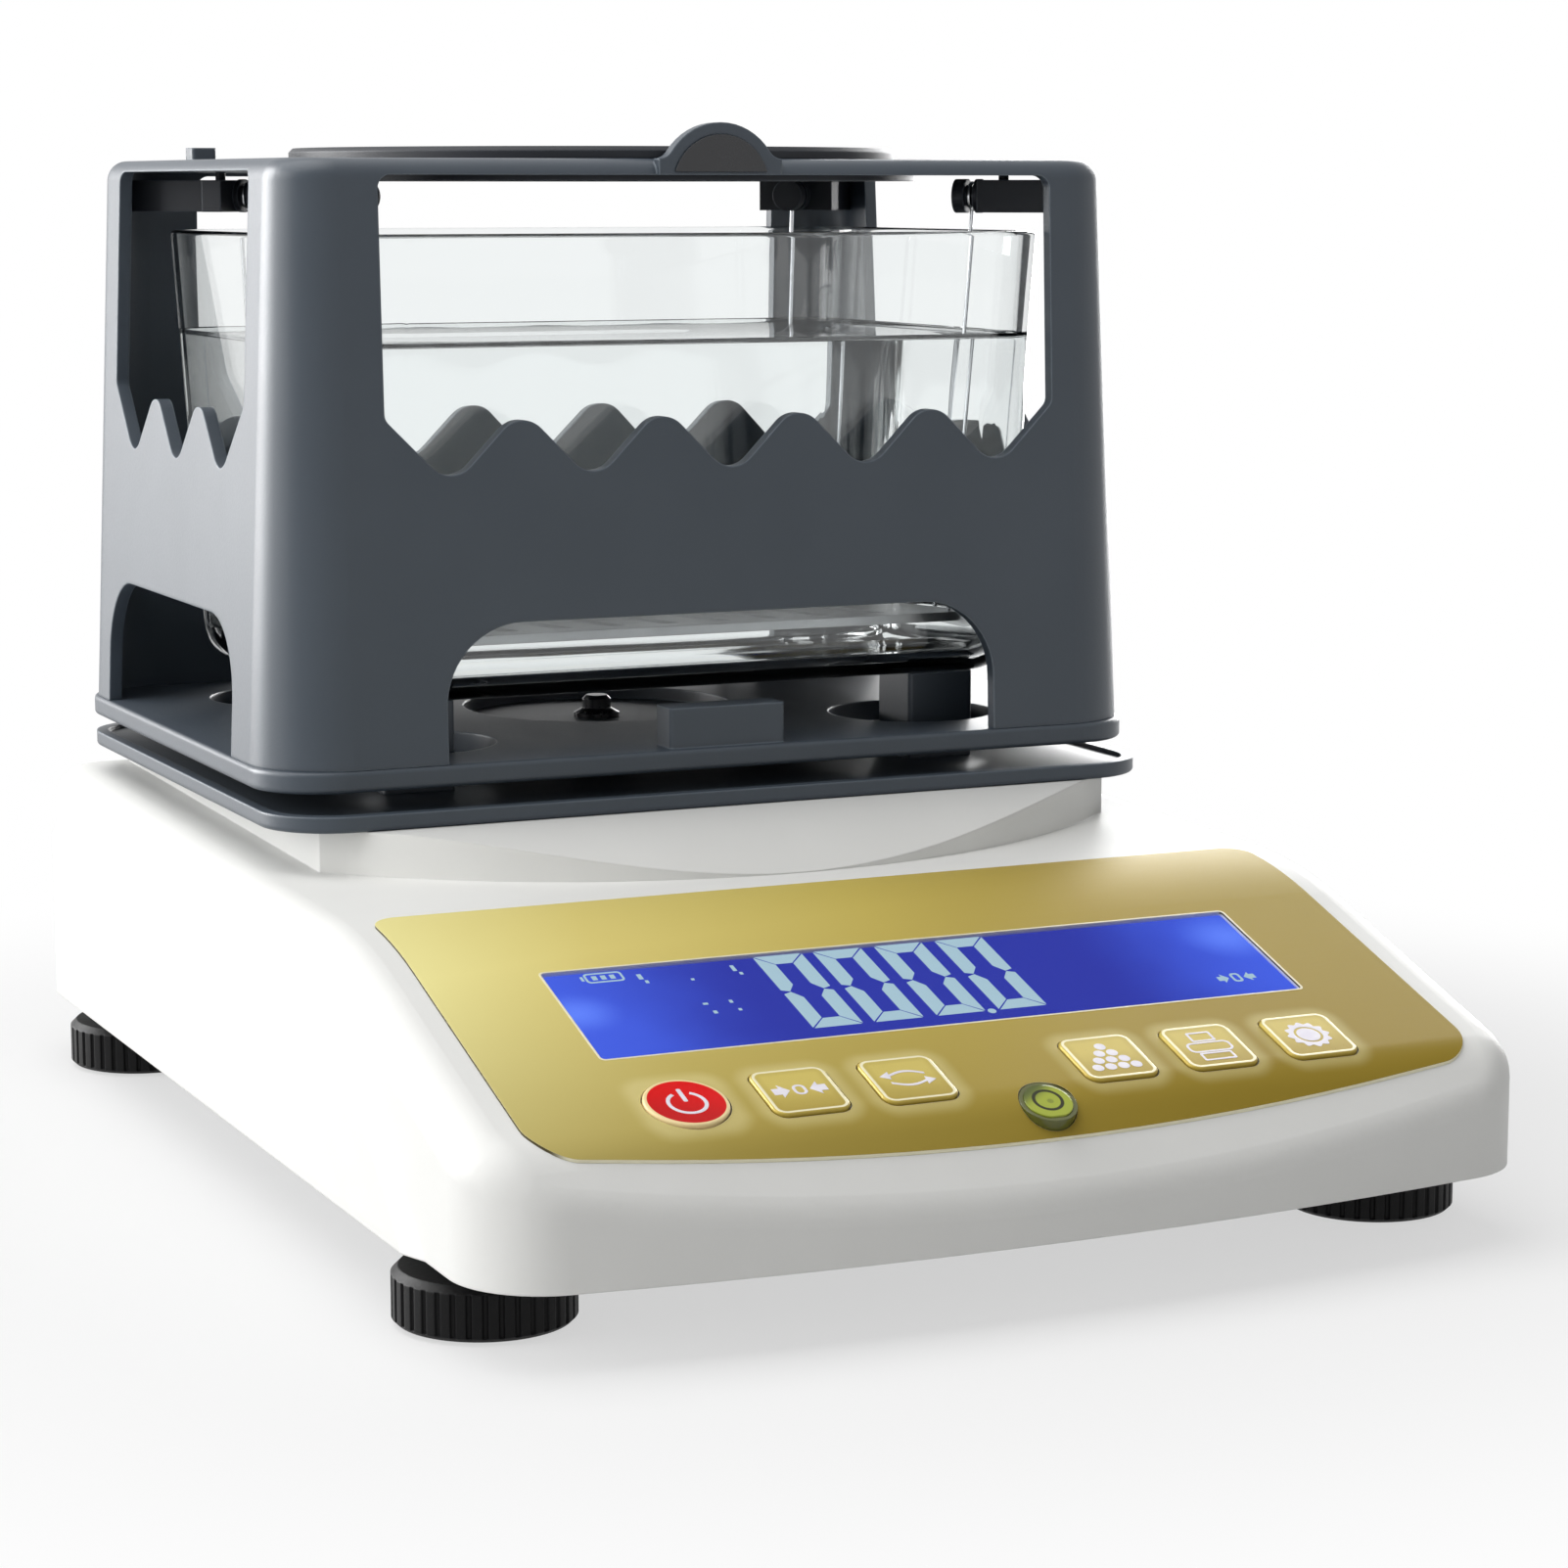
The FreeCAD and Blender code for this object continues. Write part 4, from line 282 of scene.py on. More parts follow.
cellLook = {
    "colour": paint(186, 188, 191), "other": paint(172, 174, 178), "edgeWearAndHighlight": paint(222, 223, 225),
    "grain": 700.0, "stretch": (1.0, 12.0, 12.0), "rough": 0.38, "depth": 0.000015, "edge": 0.0004}

steel = brushed("steel", steelLook)
chrome = brushed("chrome", chromeLook)
brass = brushed("brass", brassLook)
cellAluminium = brushed("cell_aluminium", cellLook)
print("plain finishes made")

# Sloping panel: middle of the display and of the key row on its surface, and the keys in millimetres.
panel = {
    "tilt": math.radians(18.0), "windowY": -86.4 * mm, "windowZ": 46.116 * mm,
    "keyY": -114.85 * mm, "keyZ": 36.872 * mm, "keyX": (18.5, 37.7, 57.3), "keyHalf": 6.7,
    "keyCorner": 2.2, "keyTop": 0.85}
panelSine, panelCosine = math.sin(panel["tilt"]), math.cos(panel["tilt"])


# Distance along the slope from a middle on the panel, in millimetres.
def alongSlope(finish, y, z, middleY, middleZ):
    return (y - middleY) * (panelCosine / mm) + (z - middleZ) * (panelSine / mm)


# Distance outside a rounded box, negative inside it.
def boxDistance(across, along, half, corner):
    overX = (abs(across) - (half[0] - corner)).above(0.0)
    overY = (abs(along) - (half[1] - corner)).above(0.0)
    return (overX * overX + overY * overY).root() - corner


overlayLook = {
    "left": paint(244, 234, 160), "quarter": paint(226, 209, 126), "middle": paint(206, 186, 96),
    "right": paint(176, 153, 68), "end": paint(167, 146, 62), "front": paint(150, 127, 42),
    "glow": paint(246, 236, 176), "cut": paint(246, 240, 210), "shadow": paint(84, 76, 50),
    "rough": 0.5, "grain": 5200.0, "depth": 0.000004, "metal": 0.1, "wide": 0.172,
    "stops": (("left", 0.0), ("quarter", 0.2), ("middle", 0.5), ("right", 0.75), ("end", 1.0)),
    "darkFrom": -0.057, "darkPerDepth": -12.7, "darkPerWidth": 1.6, "darkStart": -0.05,
    "haloHalf": 7.0, "haloCorner": 2.6, "haloReach": 3.2, "haloShare": 0.3}


# Gold film, paler at the left and the back with painted light from the left, a painted highlight round the
# square keys, painted shade along the dark front edge, and cut edges that are pale partly as film and
# partly as painted highlight, with painted shadow where they face left.
def goldOverlay():
    look = overlayLook
    finish = newFinish("overlay_gold", {"Metallic": look["metal"], "IOR": 1.45,
                                        "Specular IOR Level": 0.12})
    place = finish.spot()
    x, y, z = finish.axes(place)
    speck = finish.noise(place, look["grain"], 2.0)
    cloud = finish.noise(place, 22.0, 2.0)
    brush = finish.noise(finish.stretched(place, (1.0, 30.0, 30.0)), 120.0, 3.0)
    # Painted light from the left: the film pales to the left and darkens to the right.
    across = x * (1 / look["wide"]) + 0.5 + (cloud - 0.5) * 0.05
    colour = finish.ramp(across, [(stop, look[shade]) for shade, stop in look["stops"]])
    # Painted shade on the front bend, where the film turns down away from the overhead light.
    nearFront = (y - look["darkFrom"]) * look["darkPerDepth"] + x * look["darkPerWidth"] + look["darkStart"]
    colour = finish.mix(nearFront.above(0.0).below(0.95), colour, look["front"])
    slopeY = alongSlope(finish, y, z, panel["keyY"], panel["keyZ"])
    # Painted highlight: a pale glow round each square key, where the embossed film catches the light.
    halo = 0.0
    haloHalf = (look["haloHalf"], look["haloHalf"])
    for keyX in panel["keyX"]:
        gap = boxDistance(abs(x) * (1 / mm) - keyX, slopeY, haloHalf, look["haloCorner"])
        halo = (1 - finish.step(gap, 0.0, look["haloReach"])) + halo
    colour = finish.mix(halo.below(1.0) * look["haloShare"], colour, look["glow"])
    # Upright cut edges and rounded edges: pale partly as cut film and partly as painted highlight, with
    # painted shadow where they face left.
    facing = finish.axes(finish.node("ShaderNodeNewGeometry", {}, {}, "Normal"))
    upright = 1 - finish.step(facing[2], 0.3, 0.55)
    soft, edgeWearAndHighlight = finish.edge(0.0002)
    rim = finish.mix(finish.step(facing[0], -0.3, -0.7), look["cut"], look["shadow"])
    colour = finish.mix((upright + edgeWearAndHighlight * 0.6).below(1.0), colour, rim)
    finish.feed("Base Color", colour)
    finish.feed("Roughness", look["rough"] + (speck - 0.5) * 0.12 + (brush - 0.5) * 0.1)
    finish.feed("Normal", finish.bump(speck + brush * 0.5, look["depth"], soft))
    return finish.material


keyLook = {
    "gold": paint(222, 202, 108), "low": paint(178, 154, 62), "line": paint(250, 243, 206),
    "red": paint(232, 4, 6), "redLow": paint(204, 1, 4), "rim": paint(250, 226, 170),
    "rough": 0.3, "grain": 4200.0, "depth": 0.000004, "lineOut": (-0.42, -0.3),
    "lineIn": (-0.95, -0.75), "redReach": (6.25, 6.4)}


# Square gold caps with painted shade towards the front, to the right and just inside their edge, and a pale
# line painted on their rounded edge as a highlight.
def goldKeys():
    look = keyLook
    finish = newFinish("key_gold", {"Metallic": 0.15, "IOR": 1.45, "Specular IOR Level": 0.3})
    place = finish.spot()
    x, y, z = finish.axes(place)
    slopeY = alongSlope(finish, y, z, panel["keyY"], panel["keyZ"])
    speck = finish.noise(place, look["grain"], 2.0)
    half = (panel["keyHalf"], panel["keyHalf"])
    inside = 100.0
    for keyX in panel["keyX"]:
        inside = boxDistance(abs(x) * (1 / mm) - keyX, slopeY, half, panel["keyCorner"]).below(inside)
    # Painted highlight: a pale line on the rounded edge of each cap.
    ring = finish.step(inside, *look["lineIn"]) * (1 - finish.step(inside, *look["lineOut"]))
    # Painted shade: darker towards the front and to the right, following the overlay's painted light.
    shade = finish.step(slopeY, 3.0, -6.0)
    colour = finish.mix(shade * 0.75 + finish.step(x, -0.05, 0.06) * 0.25, look["gold"], look["low"])
    # Painted shade in a band just inside the cap edge.
    colour = finish.mix(finish.step(inside, -2.4, -0.9) * 0.3, colour, look["low"])
    colour = finish.mix(ring, colour, look["line"])
    # Rounded cap edges lightened to the pale line colour: partly wear, partly a painted highlight.
    soft, edgeWearAndHighlight = finish.edge(0.0003)
    finish.feed("Base Color", finish.mix(edgeWearAndHighlight * 0.4, colour, look["line"]))
    finish.feed("Roughness", look["rough"] + (speck - 0.5) * 0.12 + ring * 0.1)
    finish.feed("Normal", finish.bump(speck + ring * 6.0, look["depth"], soft))
    return finish.material


# Round red cap with a pale rim.
def redKey():
    look = keyLook
    finish = newFinish("key_red", {"IOR": 1.45, "Specular IOR Level": 0.25})
    place = finish.spot()
    x, y, z = finish.axes(place)
    slopeY = alongSlope(finish, y, z, panel["keyY"], panel["keyZ"])
    across = x * (1 / mm) + panel["keyX"][2]
    reach = (across * across + slopeY * slopeY).root()
    speck = finish.noise(place, look["grain"], 2.0)
    rim = finish.step(reach, *look["redReach"])
    colour = finish.mix(finish.step(slopeY + across * 0.4, 4.0, -6.0), look["red"], look["redLow"])
    colour = finish.mix(rim, colour, look["rim"])
    # Edges lightened towards the rim colour: partly wear, partly a painted highlight.
    soft, edgeWearAndHighlight = finish.edge(0.0003)
    finish.feed("Base Color", finish.mix(edgeWearAndHighlight * 0.3, colour, look["rim"]))
    finish.feed("Roughness", 0.24 + (speck - 0.5) * 0.1 + rim * 0.1)
    finish.feed("Normal", finish.bump(speck, look["depth"], soft))
    return finish.material


screenLook = {
    "deep": paint(34, 46, 160), "side": paint(60, 90, 222), "lamp": paint(94, 130, 250),
    "ink": paint(176, 208, 220), "otherInk": paint(176, 208, 222), "glow": 1.0, "inkGlow": 0.72,
    "ends": (30.0, 66.0), "lamps": ((-64.0, 1.0, 9.0), (62.0, 6.0, 11.0)), "lampShare": 0.85}


# Backlit blue screen, brighter where the lamps sit at both ends.
def blueScreen():
    look = screenLook
    finish = newFinish("display_blue", {
        "Specular IOR Level": 0.0, "Emission Strength": look["glow"]})
    place = finish.spot()
    x, y, z = finish.axes(place)
    across = x * (1 / mm)
    along = alongSlope(finish, y, z, panel["windowY"], panel["windowZ"])
    cloud = finish.noise(place, 70.0, 2.0)
    streak = finish.noise(finish.stretched(place, (20.0, 1.0, 1.0)), 160.0, 2.0)
    ends = finish.step(abs(across) + (cloud - 0.5) * 10.0, *look["ends"])
    colour = finish.mix(ends, look["deep"], look["side"])
    for lampX, lampY, wide in look["lamps"]:
        overX, overY = across - lampX, (along - lampY) * 1.2
        reach = (overX * overX + overY * overY).root()
        lit = (1 - finish.step(reach, 0.0, wide)) * look["lampShare"]
        colour = finish.mix(lit, colour, look["lamp"])
    finish.feed("Emission Color", colour)
    finish.feed("Base Color", finish.mix(0.94, colour, paint(4, 5, 16)))
    finish.feed("Roughness", 0.22 + (streak - 0.5) * 0.08)
    soft = finish.soften(0.0001)
    finish.feed("Normal", finish.bump(streak, 0.000002, soft))
    return finish.material


# Lit segments and signs of the screen.
def paleInk():
    look = screenLook
    finish = newFinish("screen_ink", {"Specular IOR Level": 0.0, "Emission Strength": look["inkGlow"]})
    place = finish.spot()
    speck = finish.noise(place, 900.0, 2.0)
    colour = finish.mix(finish.step(speck, 0.35, 0.65), look["ink"], look["otherInk"])
    finish.feed("Emission Color", colour)
    finish.feed("Base Color", finish.mix(0.85, colour, paint(30, 40, 60)))
    finish.feed("Roughness", 0.4 + (speck - 0.5) * 0.1)
    return finish.material


# Print on the keys, and the pale line round the window, which is a painted highlight along the edge of the
# window film.
def printAndHighlight(name, colour, other):
    finish = newFinish(name, {"IOR": 1.45, "Coat Weight": 0.1})
    place = finish.spot()
    speck = finish.noise(place, 3000.0, 3.0)
    cloud = finish.noise(place, 300.0, 2.0)
    finish.feed("Base Color", finish.mix(finish.step(cloud, 0.3, 0.7), colour, other))
    finish.feed("Roughness", 0.42 + (speck - 0.5) * 0.2)
    soft = finish.soften(0.0001)
    finish.feed("Normal", finish.bump(speck, 0.000003, soft))
    return finish.material


levelLook = {
    "tilt": math.radians(26.0), "ring": 2.4, "bubble": (0.3, -0.3, 0.4),
    "liquid": paint(174, 186, 62), "deep": paint(92, 104, 44), "light": paint(96, 104, 34),
    "line": paint(44, 46, 10)}


# Liquid of the bubble level with its dark ring, the bubble inside it and a painted shadow of the well wall
# at its upper left, sizes in millimetres.
def levelLiquid():
    look = levelLook
    finish = newFinish("lens_green", {"IOR": 1.45, "Specular IOR Level": 0.3})
    low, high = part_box("level_lens")
    sine, cosine = math.sin(look["tilt"]), math.cos(look["tilt"])
    radius = (high.x - low.x) / 2
    place = finish.spot()
    x, y, z = finish.axes(place)
    across = (x - (low.x + high.x) / 2) * (1 / mm)
    middleY, middleZ = low.y + radius * cosine, high.z - radius * sine
    along = (y - middleY) * (cosine / mm) + (z - middleZ) * (sine / mm)
    reach = (across * across + along * along).root()
    bubbleX, bubbleY, bubbleSize = look["bubble"]
    overX, overY = across - bubbleX, along - bubbleY
    spread = (overX * overX + overY * overY).root()
    cloud = finish.noise(place, 500.0, 2.0)
    # Painted shadow: the well wall's shade across the upper left of the liquid.
    wellShadow = finish.step(along - across * 0.6, 0.6, 4.2)
    colour = finish.mix(wellShadow, look["liquid"], look["deep"])
    bubble = 1 - finish.step(spread, bubbleSize - 0.5, bubbleSize)
    colour = finish.mix(bubble * 0.8, colour, look["light"])
    rim = finish.step(spread, bubbleSize - 0.35, bubbleSize) * (
        1 - finish.step(spread, bubbleSize, bubbleSize + 0.3))
    colour = finish.mix(rim * 0.5, colour, look["deep"])
    ring = finish.step(reach, look["ring"] - 0.4, look["ring"] - 0.2) * (
        1 - finish.step(reach, look["ring"] + 0.2, look["ring"] + 0.4))
    finish.feed("Base Color", finish.mix(ring, colour, look["line"]))
    finish.feed("Roughness", 0.12 + (cloud - 0.5) * 0.06)
    soft = finish.soften(0.0003)
    finish.feed("Normal", finish.bump(cloud, 0.000004, soft))
    return finish.material


# Window, vial, tank glass or water, see-through by its share of transmission or of alpha.
def clearPlastic(name, look):
    finish = newFinish(name, {
        "IOR": look["bend"], "Base Color": look["colour"], "Alpha": look.get("solid", 1.0),
        "Transmission Weight": look["through"], "Specular IOR Level": look.get("shine", 0.5)})
    place = finish.spot()
    smear = finish.noise(place, look["smear"], 2.0)
    finish.feed("Roughness", look["rough"] + finish.step(smear, 0.45, 0.8) * look["haze"])
    soft = finish.soften(look["edge"])
    finish.feed("Normal", finish.bump(finish.noise(place, look["wave"], 1.0), look["depth"], soft))
    return finish.material


windowLook = {"colour": paint(250, 251, 255), "bend": 1.45, "through": 0.0, "rough": 0.06,
              "haze": 0.05, "smear": 60.0, "wave": 20.0, "depth": 0.00001, "edge": 0.0002,
              "solid": 0.012, "shine": 0.3}
vialLook = {"colour": paint(112, 116, 52), "bend": 1.49, "through": 0.25, "rough": 0.08,
            "haze": 0.05, "smear": 300.0, "wave": 200.0, "depth": 0.000004, "edge": 0.0003}
glassLook = {"colour": paint(247, 249, 249), "bend": 1.46, "through": 1.0, "rough": 0.0,
             "haze": 0.03, "smear": 26.0, "wave": 30.0, "depth": 0.00002, "edge": 0.0003}
waterLook = {"colour": paint(250, 252, 252), "bend": 1.33, "through": 1.0, "rough": 0.0,
             "haze": 0.0, "smear": 20.0, "wave": 34.0, "depth": 0.00012, "edge": 0.0004}

windowClear = clearPlastic("window_clear", windowLook)
vialClear = clearPlastic("vial_clear", vialLook)
tankGlass = clearPlastic("tank_glass", glassLook)
tankWater = clearPlastic("tank_water", waterLook)
overlayGold = goldOverlay()
keyGold = goldKeys()
keyRed = redKey()
displayBlue = blueScreen()
screenInk = paleInk()
signPrint = printAndHighlight("sign_print", paint(246, 242, 250), paint(236, 231, 244))
windowHighlightPaint = printAndHighlight("window_highlight_paint", paint(246, 240, 212), paint(238, 230, 196))
levelGreen = levelLiquid()
print("special finishes made")

corners = ("front_left", "front_right", "back_left", "back_right")
wear(housingWhite, ["upper_housing"])
wear(coverGrey, ["bottom_cover"])
wear(rackSlate, ["tank_plate", "tank_posts", "rack_plate", "rack_shell"])
# The tray, its seat and the hook arms take the painted-shade copy of the slate.
wear(shadedSlate, ["tray_seat", "weighing_tray"] + ["hook_arm_" + corner for corner in corners])
wear(badgeGrey, ["front_badge", "centre_screw"])
wear(knobBlack, ["foot_knob_" + corner for corner in corners] + ["power_inlet"])
wear(padRubber, ["foot_pad_" + corner for corner in corners])
wear(brass, ["foot_inserts"])
wear(steel, ["cover_screws", "cell_mount", "spindle", "sink_plate", "serial_port"])
wear(chrome, ["cell_bolts"] + ["hook_wire_" + corner for corner in corners])
wear(cellAluminium, ["load_cell"])
wear(boardGreen, ["keypad_board", "main_board", "board_posts"])
wear(batteryBlack, ["battery_pack"])
wear(overlayGold, ["keypad_overlay"])
wear(displayBlue, ["display_module"])
wear(windowClear, ["display_window"])
wear(keyRed, ["power_key"])
wear(keyGold, ["zero_key", "mode_key", "count_key", "print_key", "set_key"])
wear(vialClear, ["level_vial"])
wear(levelGreen, ["level_lens"])
wear(tankGlass, ["glass_tank"])
print("frame nodes finished")


# Nothing selected, so that an operator works on one piece alone.
def unpick():
    bpy.ops.object.select_all(action="DESELECT")


# Place on the sloping panel, at the middle of the window or of the key row, raised by a lift.
def onPanel(row, lift):
    middle = Vector((0, panel[row + "Y"], panel[row + "Z"]))
    turn = Matrix.Rotation(panel["tilt"], 4, "X")
    return Matrix.Translation(middle) @ turn @ Matrix.Translation((0, 0, lift * mm))


# Name, material and body of a finished piece.
def settle(piece, name, material, body):
    piece.name = name
    piece.data.name = name
    piece.data.materials.clear()
    piece.data.materials.append(material)
    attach(piece, body)
    return piece


# Flat plate from closed outlines in millimetres; an outline inside another is a hole.
def flatPiece(name, outlines, thick, where, material, body):
    unpick()
    drawn = bpy.data.curves.new(name, "CURVE")
    drawn.dimensions = "2D"
    drawn.fill_mode = "BOTH"
    drawn.extrude = thick * mm / 2
    for outline in outlines:
        line = drawn.splines.new("POLY")
        line.points.add(len(outline) - 1)
        for point, (x, y) in zip(line.points, outline):
            point.co = (x * mm, y * mm, 0, 1)
        line.use_cyclic_u = True
    piece = bpy.data.objects.new(name, drawn)
    bpy.context.scene.collection.objects.link(piece)
    piece.select_set(True)
    bpy.context.view_layer.objects.active = piece
    bpy.ops.object.convert(target="MESH")
    piece = bpy.context.active_object
    piece.matrix_world = where
    bpy.ops.object.transform_apply(location=True, rotation=True, scale=True)
    return settle(piece, name, material, body)


# Points of an arc, from one angle to another in degrees.
def arc(x, y, radius, start, stop, count=24):
    points = []
    for k in range(count + 1):
        turn = math.radians(start + (stop - start) * k / count)
        points.append((x + radius * math.cos(turn), y + radius * math.sin(turn)))
    return points


def disc(x, y, radius, count=24):
    return arc(x, y, radius, 0, 360, count)[:-1]


# Ring cut open, as one closed outline.
def band(x, y, inner, outer, start, stop, count=24):
    return arc(x, y, outer, start, stop, count) + arc(x, y, inner, stop, start, count)


def roundBox(x, y, wide, tall, corner):
    points = []
    for turn, sx, sy in ((0, 1, 1), (90, -1, 1), (180, -1, -1), (270, 1, -1)):
        points += arc(x + sx * (wide / 2 - corner), y + sy * (tall / 2 - corner), corner,
                      turn, turn + 90, 6)
    return points


def bar(x, y, wide, tall):
    return [(x - wide / 2, y - tall / 2), (x + wide / 2, y - tall / 2),
            (x + wide / 2, y + tall / 2), (x - wide / 2, y + tall / 2)]


# Screen: lit glass, digits and signs under a clear cover.
screen = {
    "pictureLow": -1.15, "pictureTop": 0.1, "inkThick": 0.04, "coverLow": 0.18, "coverTop": 0.4,
    "half": (65.2, 14.05), "corner": 0.7, "digitX": (-22.3, -11.1, 0.5, 12.2), "digitWide": 9.1,
    "digitTop": 13.7, "digitLow": -10.8, "stroke": 2.9, "gap": 0.11, "lean": -0.02,
    "coverOver": 0.2, "softEdge": 0.05, "point": (6.4, -11.0, 0.75),
    "line": {"out": 0.65, "in": 0.25, "outCorner": 1.1, "inCorner": 0.8, "lift": 0.41}}


# Flat block with rounded corners and a soft edge, sizes in millimetres.
def blockPiece(name, low, top, half, corner, where, material):
    unpick()
    bpy.ops.mesh.primitive_cube_add(size=1)
    piece = bpy.context.active_object
    piece.scale = (half[0] * 2 * mm, half[1] * 2 * mm, (top - low) * mm)
    piece.location = (0, 0, (low + top) / 2 * mm)
    bpy.ops.object.transform_apply(location=True, rotation=True, scale=True)
    bpy.ops.object.mode_set(mode="EDIT")
    bpy.ops.mesh.select_all(action="DESELECT")
    bpy.ops.object.mode_set(mode="OBJECT")
    for side in piece.data.edges:
        one, other = [piece.data.vertices[v].co for v in side.vertices]
        side.select = abs(one.z - other.z) > (top - low) * mm / 2
    bpy.ops.object.mode_set(mode="EDIT")
    bpy.ops.mesh.select_mode(type="EDGE")
    bpy.ops.mesh.bevel(offset=corner * mm, segments=4)
    bpy.ops.object.mode_set(mode="OBJECT")
    softEdge = piece.modifiers.new("edge", "BEVEL")
    softEdge.width = screen["softEdge"] * mm
    softEdge.segments = 2
    softEdge.limit_method = "ANGLE"
    bpy.ops.object.modifier_apply(modifier="edge")
    piece.matrix_world = where
    bpy.ops.object.transform_apply(location=True, rotation=True, scale=True)
    return settle(piece, name, material, "housing")


# Six lit segments of a nought.
def digitParts(x):
    half, stroke, gap = screen["digitWide"] / 2, screen["stroke"], screen["gap"]
    top, low = screen["digitTop"], screen["digitLow"]
    middle = (top + low) / 2
    parts = []
    for level, inward in ((top, -1), (low, 1)):
        parts.append([(x - half + gap * 2, level), (x + half - gap * 2, level),
                      (x + half - stroke - gap, level + inward * stroke),
                      (x - half + stroke + gap, level + inward * stroke)])
        for side in (-1, 1):
            parts.append([
                (x + side * half, level + inward * gap * 2),
                (x + side * half, middle - inward * (gap + stroke * 0.2)),
                (x + side * (half - stroke * 0.5), middle - inward * gap),
                (x + side * (half - stroke), middle - inward * stroke * 0.75),
                (x + side * (half - stroke), level + inward * (stroke + gap * 2))])
    return [[(px + (py - middle) * screen["lean"], py) for px, py in part] for part in parts]


onWindow = onPanel("window", 0.0)
halfWide, halfTall = screen["half"]
coverHalf = (halfWide + screen["coverOver"], halfTall + screen["coverOver"])
blockPiece("screen_picture", screen["pictureLow"], screen["pictureTop"], screen["half"],
           screen["corner"], onWindow, displayBlue)
clearCover = blockPiece("screen_cover", screen["coverLow"], screen["coverTop"], coverHalf,
                        screen["corner"], onWindow, windowClear)
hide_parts("display_window")
inkPlace = onPanel("window", screen["pictureTop"] + screen["inkThick"] / 2)


def screenSign(name, outlines):
    flatPiece(name, outlines, screen["inkThick"], inkPlace, screenInk, "housing")


for number, digitX in enumerate(screen["digitX"]):
    screenSign("screen_digit_%d" % (number + 1), digitParts(digitX))
screenSign("screen_point", [disc(*screen["point"])])

# Small signs of the screen: middles, widths and heights in millimetres.
signs = {
    "battery": {"at": (-55.0, 11.7), "size": (6.8, 3.2, 0.8), "inside": (6.0, 2.4, 0.5),
                "cellX": (-56.7, -55.1, -53.5), "cell": (0.9, 1.3), "tipX": -58.9, "tip": (0.5, 1.4)},
    "ticks": ((-48.9, 10.8, 0.8, 1.7), (-48.3, 9.0, 0.6, 0.9), (-40.3, 8.4, 0.6, 0.6),
              (-31.9, 10.8, 0.7, 1.9), (-31.2, 8.9, 0.6, 0.8), (-41.4, 0.2, 0.9, 0.6),
              (-40.8, -2.7, 0.7, 0.9), (-36.8, 0.2, 0.6, 0.9), (-36.3, -2.6, 0.6, 0.7)),
    "zero": {"at": (55.8, -8.1), "arrowAway": 1.5, "arrow": 2.0, "size": (1.9, 2.9, 0.7),
             "inside": (1.0, 2.0, 0.4)}}
battery = signs["battery"]
batteryX, batteryY = battery["at"]
batteryCase = [roundBox(batteryX, batteryY, *battery[edge]) for edge in ("size", "inside")]
batteryCells = [bar(cellX, batteryY, *battery["cell"]) for cellX in battery["cellX"]]
screenSign("battery_sign", batteryCase + batteryCells + [bar(battery["tipX"], batteryY, *battery["tip"])])
screenSign("screen_ticks", [bar(*tick) for tick in signs["ticks"]])


# Arrow with its tip at the given place, pointing to the given side.
def arrowShape(x, y, size, side):
    return [(x + side * px * size, y + py * size) for px, py in (
        (0.0, 0.0), (-0.62, 0.72), (-0.62, 0.34), (-1.1, 0.34), (-1.1, -0.34), (-0.62, -0.34),
        (-0.62, -0.72))]


zero = signs["zero"]
zeroX, zeroY = zero["at"]
screenSign("zero_sign", [
    arrowShape(zeroX - zero["arrowAway"], zeroY, zero["arrow"], 1),
    arrowShape(zeroX + zero["arrowAway"], zeroY, zero["arrow"], -1),
    roundBox(zeroX, zeroY, *zero["size"]), roundBox(zeroX, zeroY, *zero["inside"])])
# Painted highlight: a thin pale ring round the window, standing for light caught by the edge of the window
# film.
windowEdgeHighlight = screen["line"]
highlightOutlines = [roundBox(0, 0, (halfWide + windowEdgeHighlight[edge]) * 2, (halfTall + windowEdgeHighlight[edge]) * 2,
                      windowEdgeHighlight[edge + "Corner"]) for edge in ("out", "in")]
flatPiece("window_edge_highlight", highlightOutlines, screen["inkThick"], onPanel("window", windowEdgeHighlight["lift"]),
          windowHighlightPaint, "housing")
print("screen made")

# Signs printed on the keys, in millimetres from the middle of each key.
keySigns = {
    "thick": 0.05, "lift": 0.01, "tipLift": 0.02,
    "power": {"y": -0.3, "ring": (2.75, 3.4), "turn": (118, 422), "points": 40,
              "bar": (2.0, 0.75, 3.9, 0.3)},
    "zero": {"arrowAway": 1.75, "arrow": 2.7, "size": (2.3, 3.0, 1.1), "inside": (1.3, 2.0, 0.6)},
    "mode": {"apart": 0.2, "points": 16, "long": 6.6, "start": 3.2, "low": 1.1, "rise": 1.1,
             "wide": 0.6, "tip": (4.6, 0.9), "head": ((0.0, 0.0), (1.9, 1.3), (1.7, -1.1))},
    "count": {"rows": 4, "top": 3.1, "apart": 2.4, "rowApart": 2.1, "radius": 1.02, "points": 16},
    "print": ((2.9, 4.6, 3.0, 0.4), (2.9, 3.7, 2.1, 0.2), (-0.4, 8.4, 3.2, 1.2),
              (-0.4, 7.5, 2.3, 0.8), (-3.4, 6.2, 2.5, 0.4), (-3.4, 5.3, 1.6, 0.2)),
    "set": {"points": 144, "teeth": 12, "reach": 3.75, "tooth": 0.32, "ring": (2.55, 2.1)}}
innerX, middleX, outerX = panel["keyX"]


def keySign(name, outlines, key, lift=keySigns["lift"]):
    flatPiece(name, outlines, keySigns["thick"], onPanel("key", panel["keyTop"] + lift), signPrint,
              key)


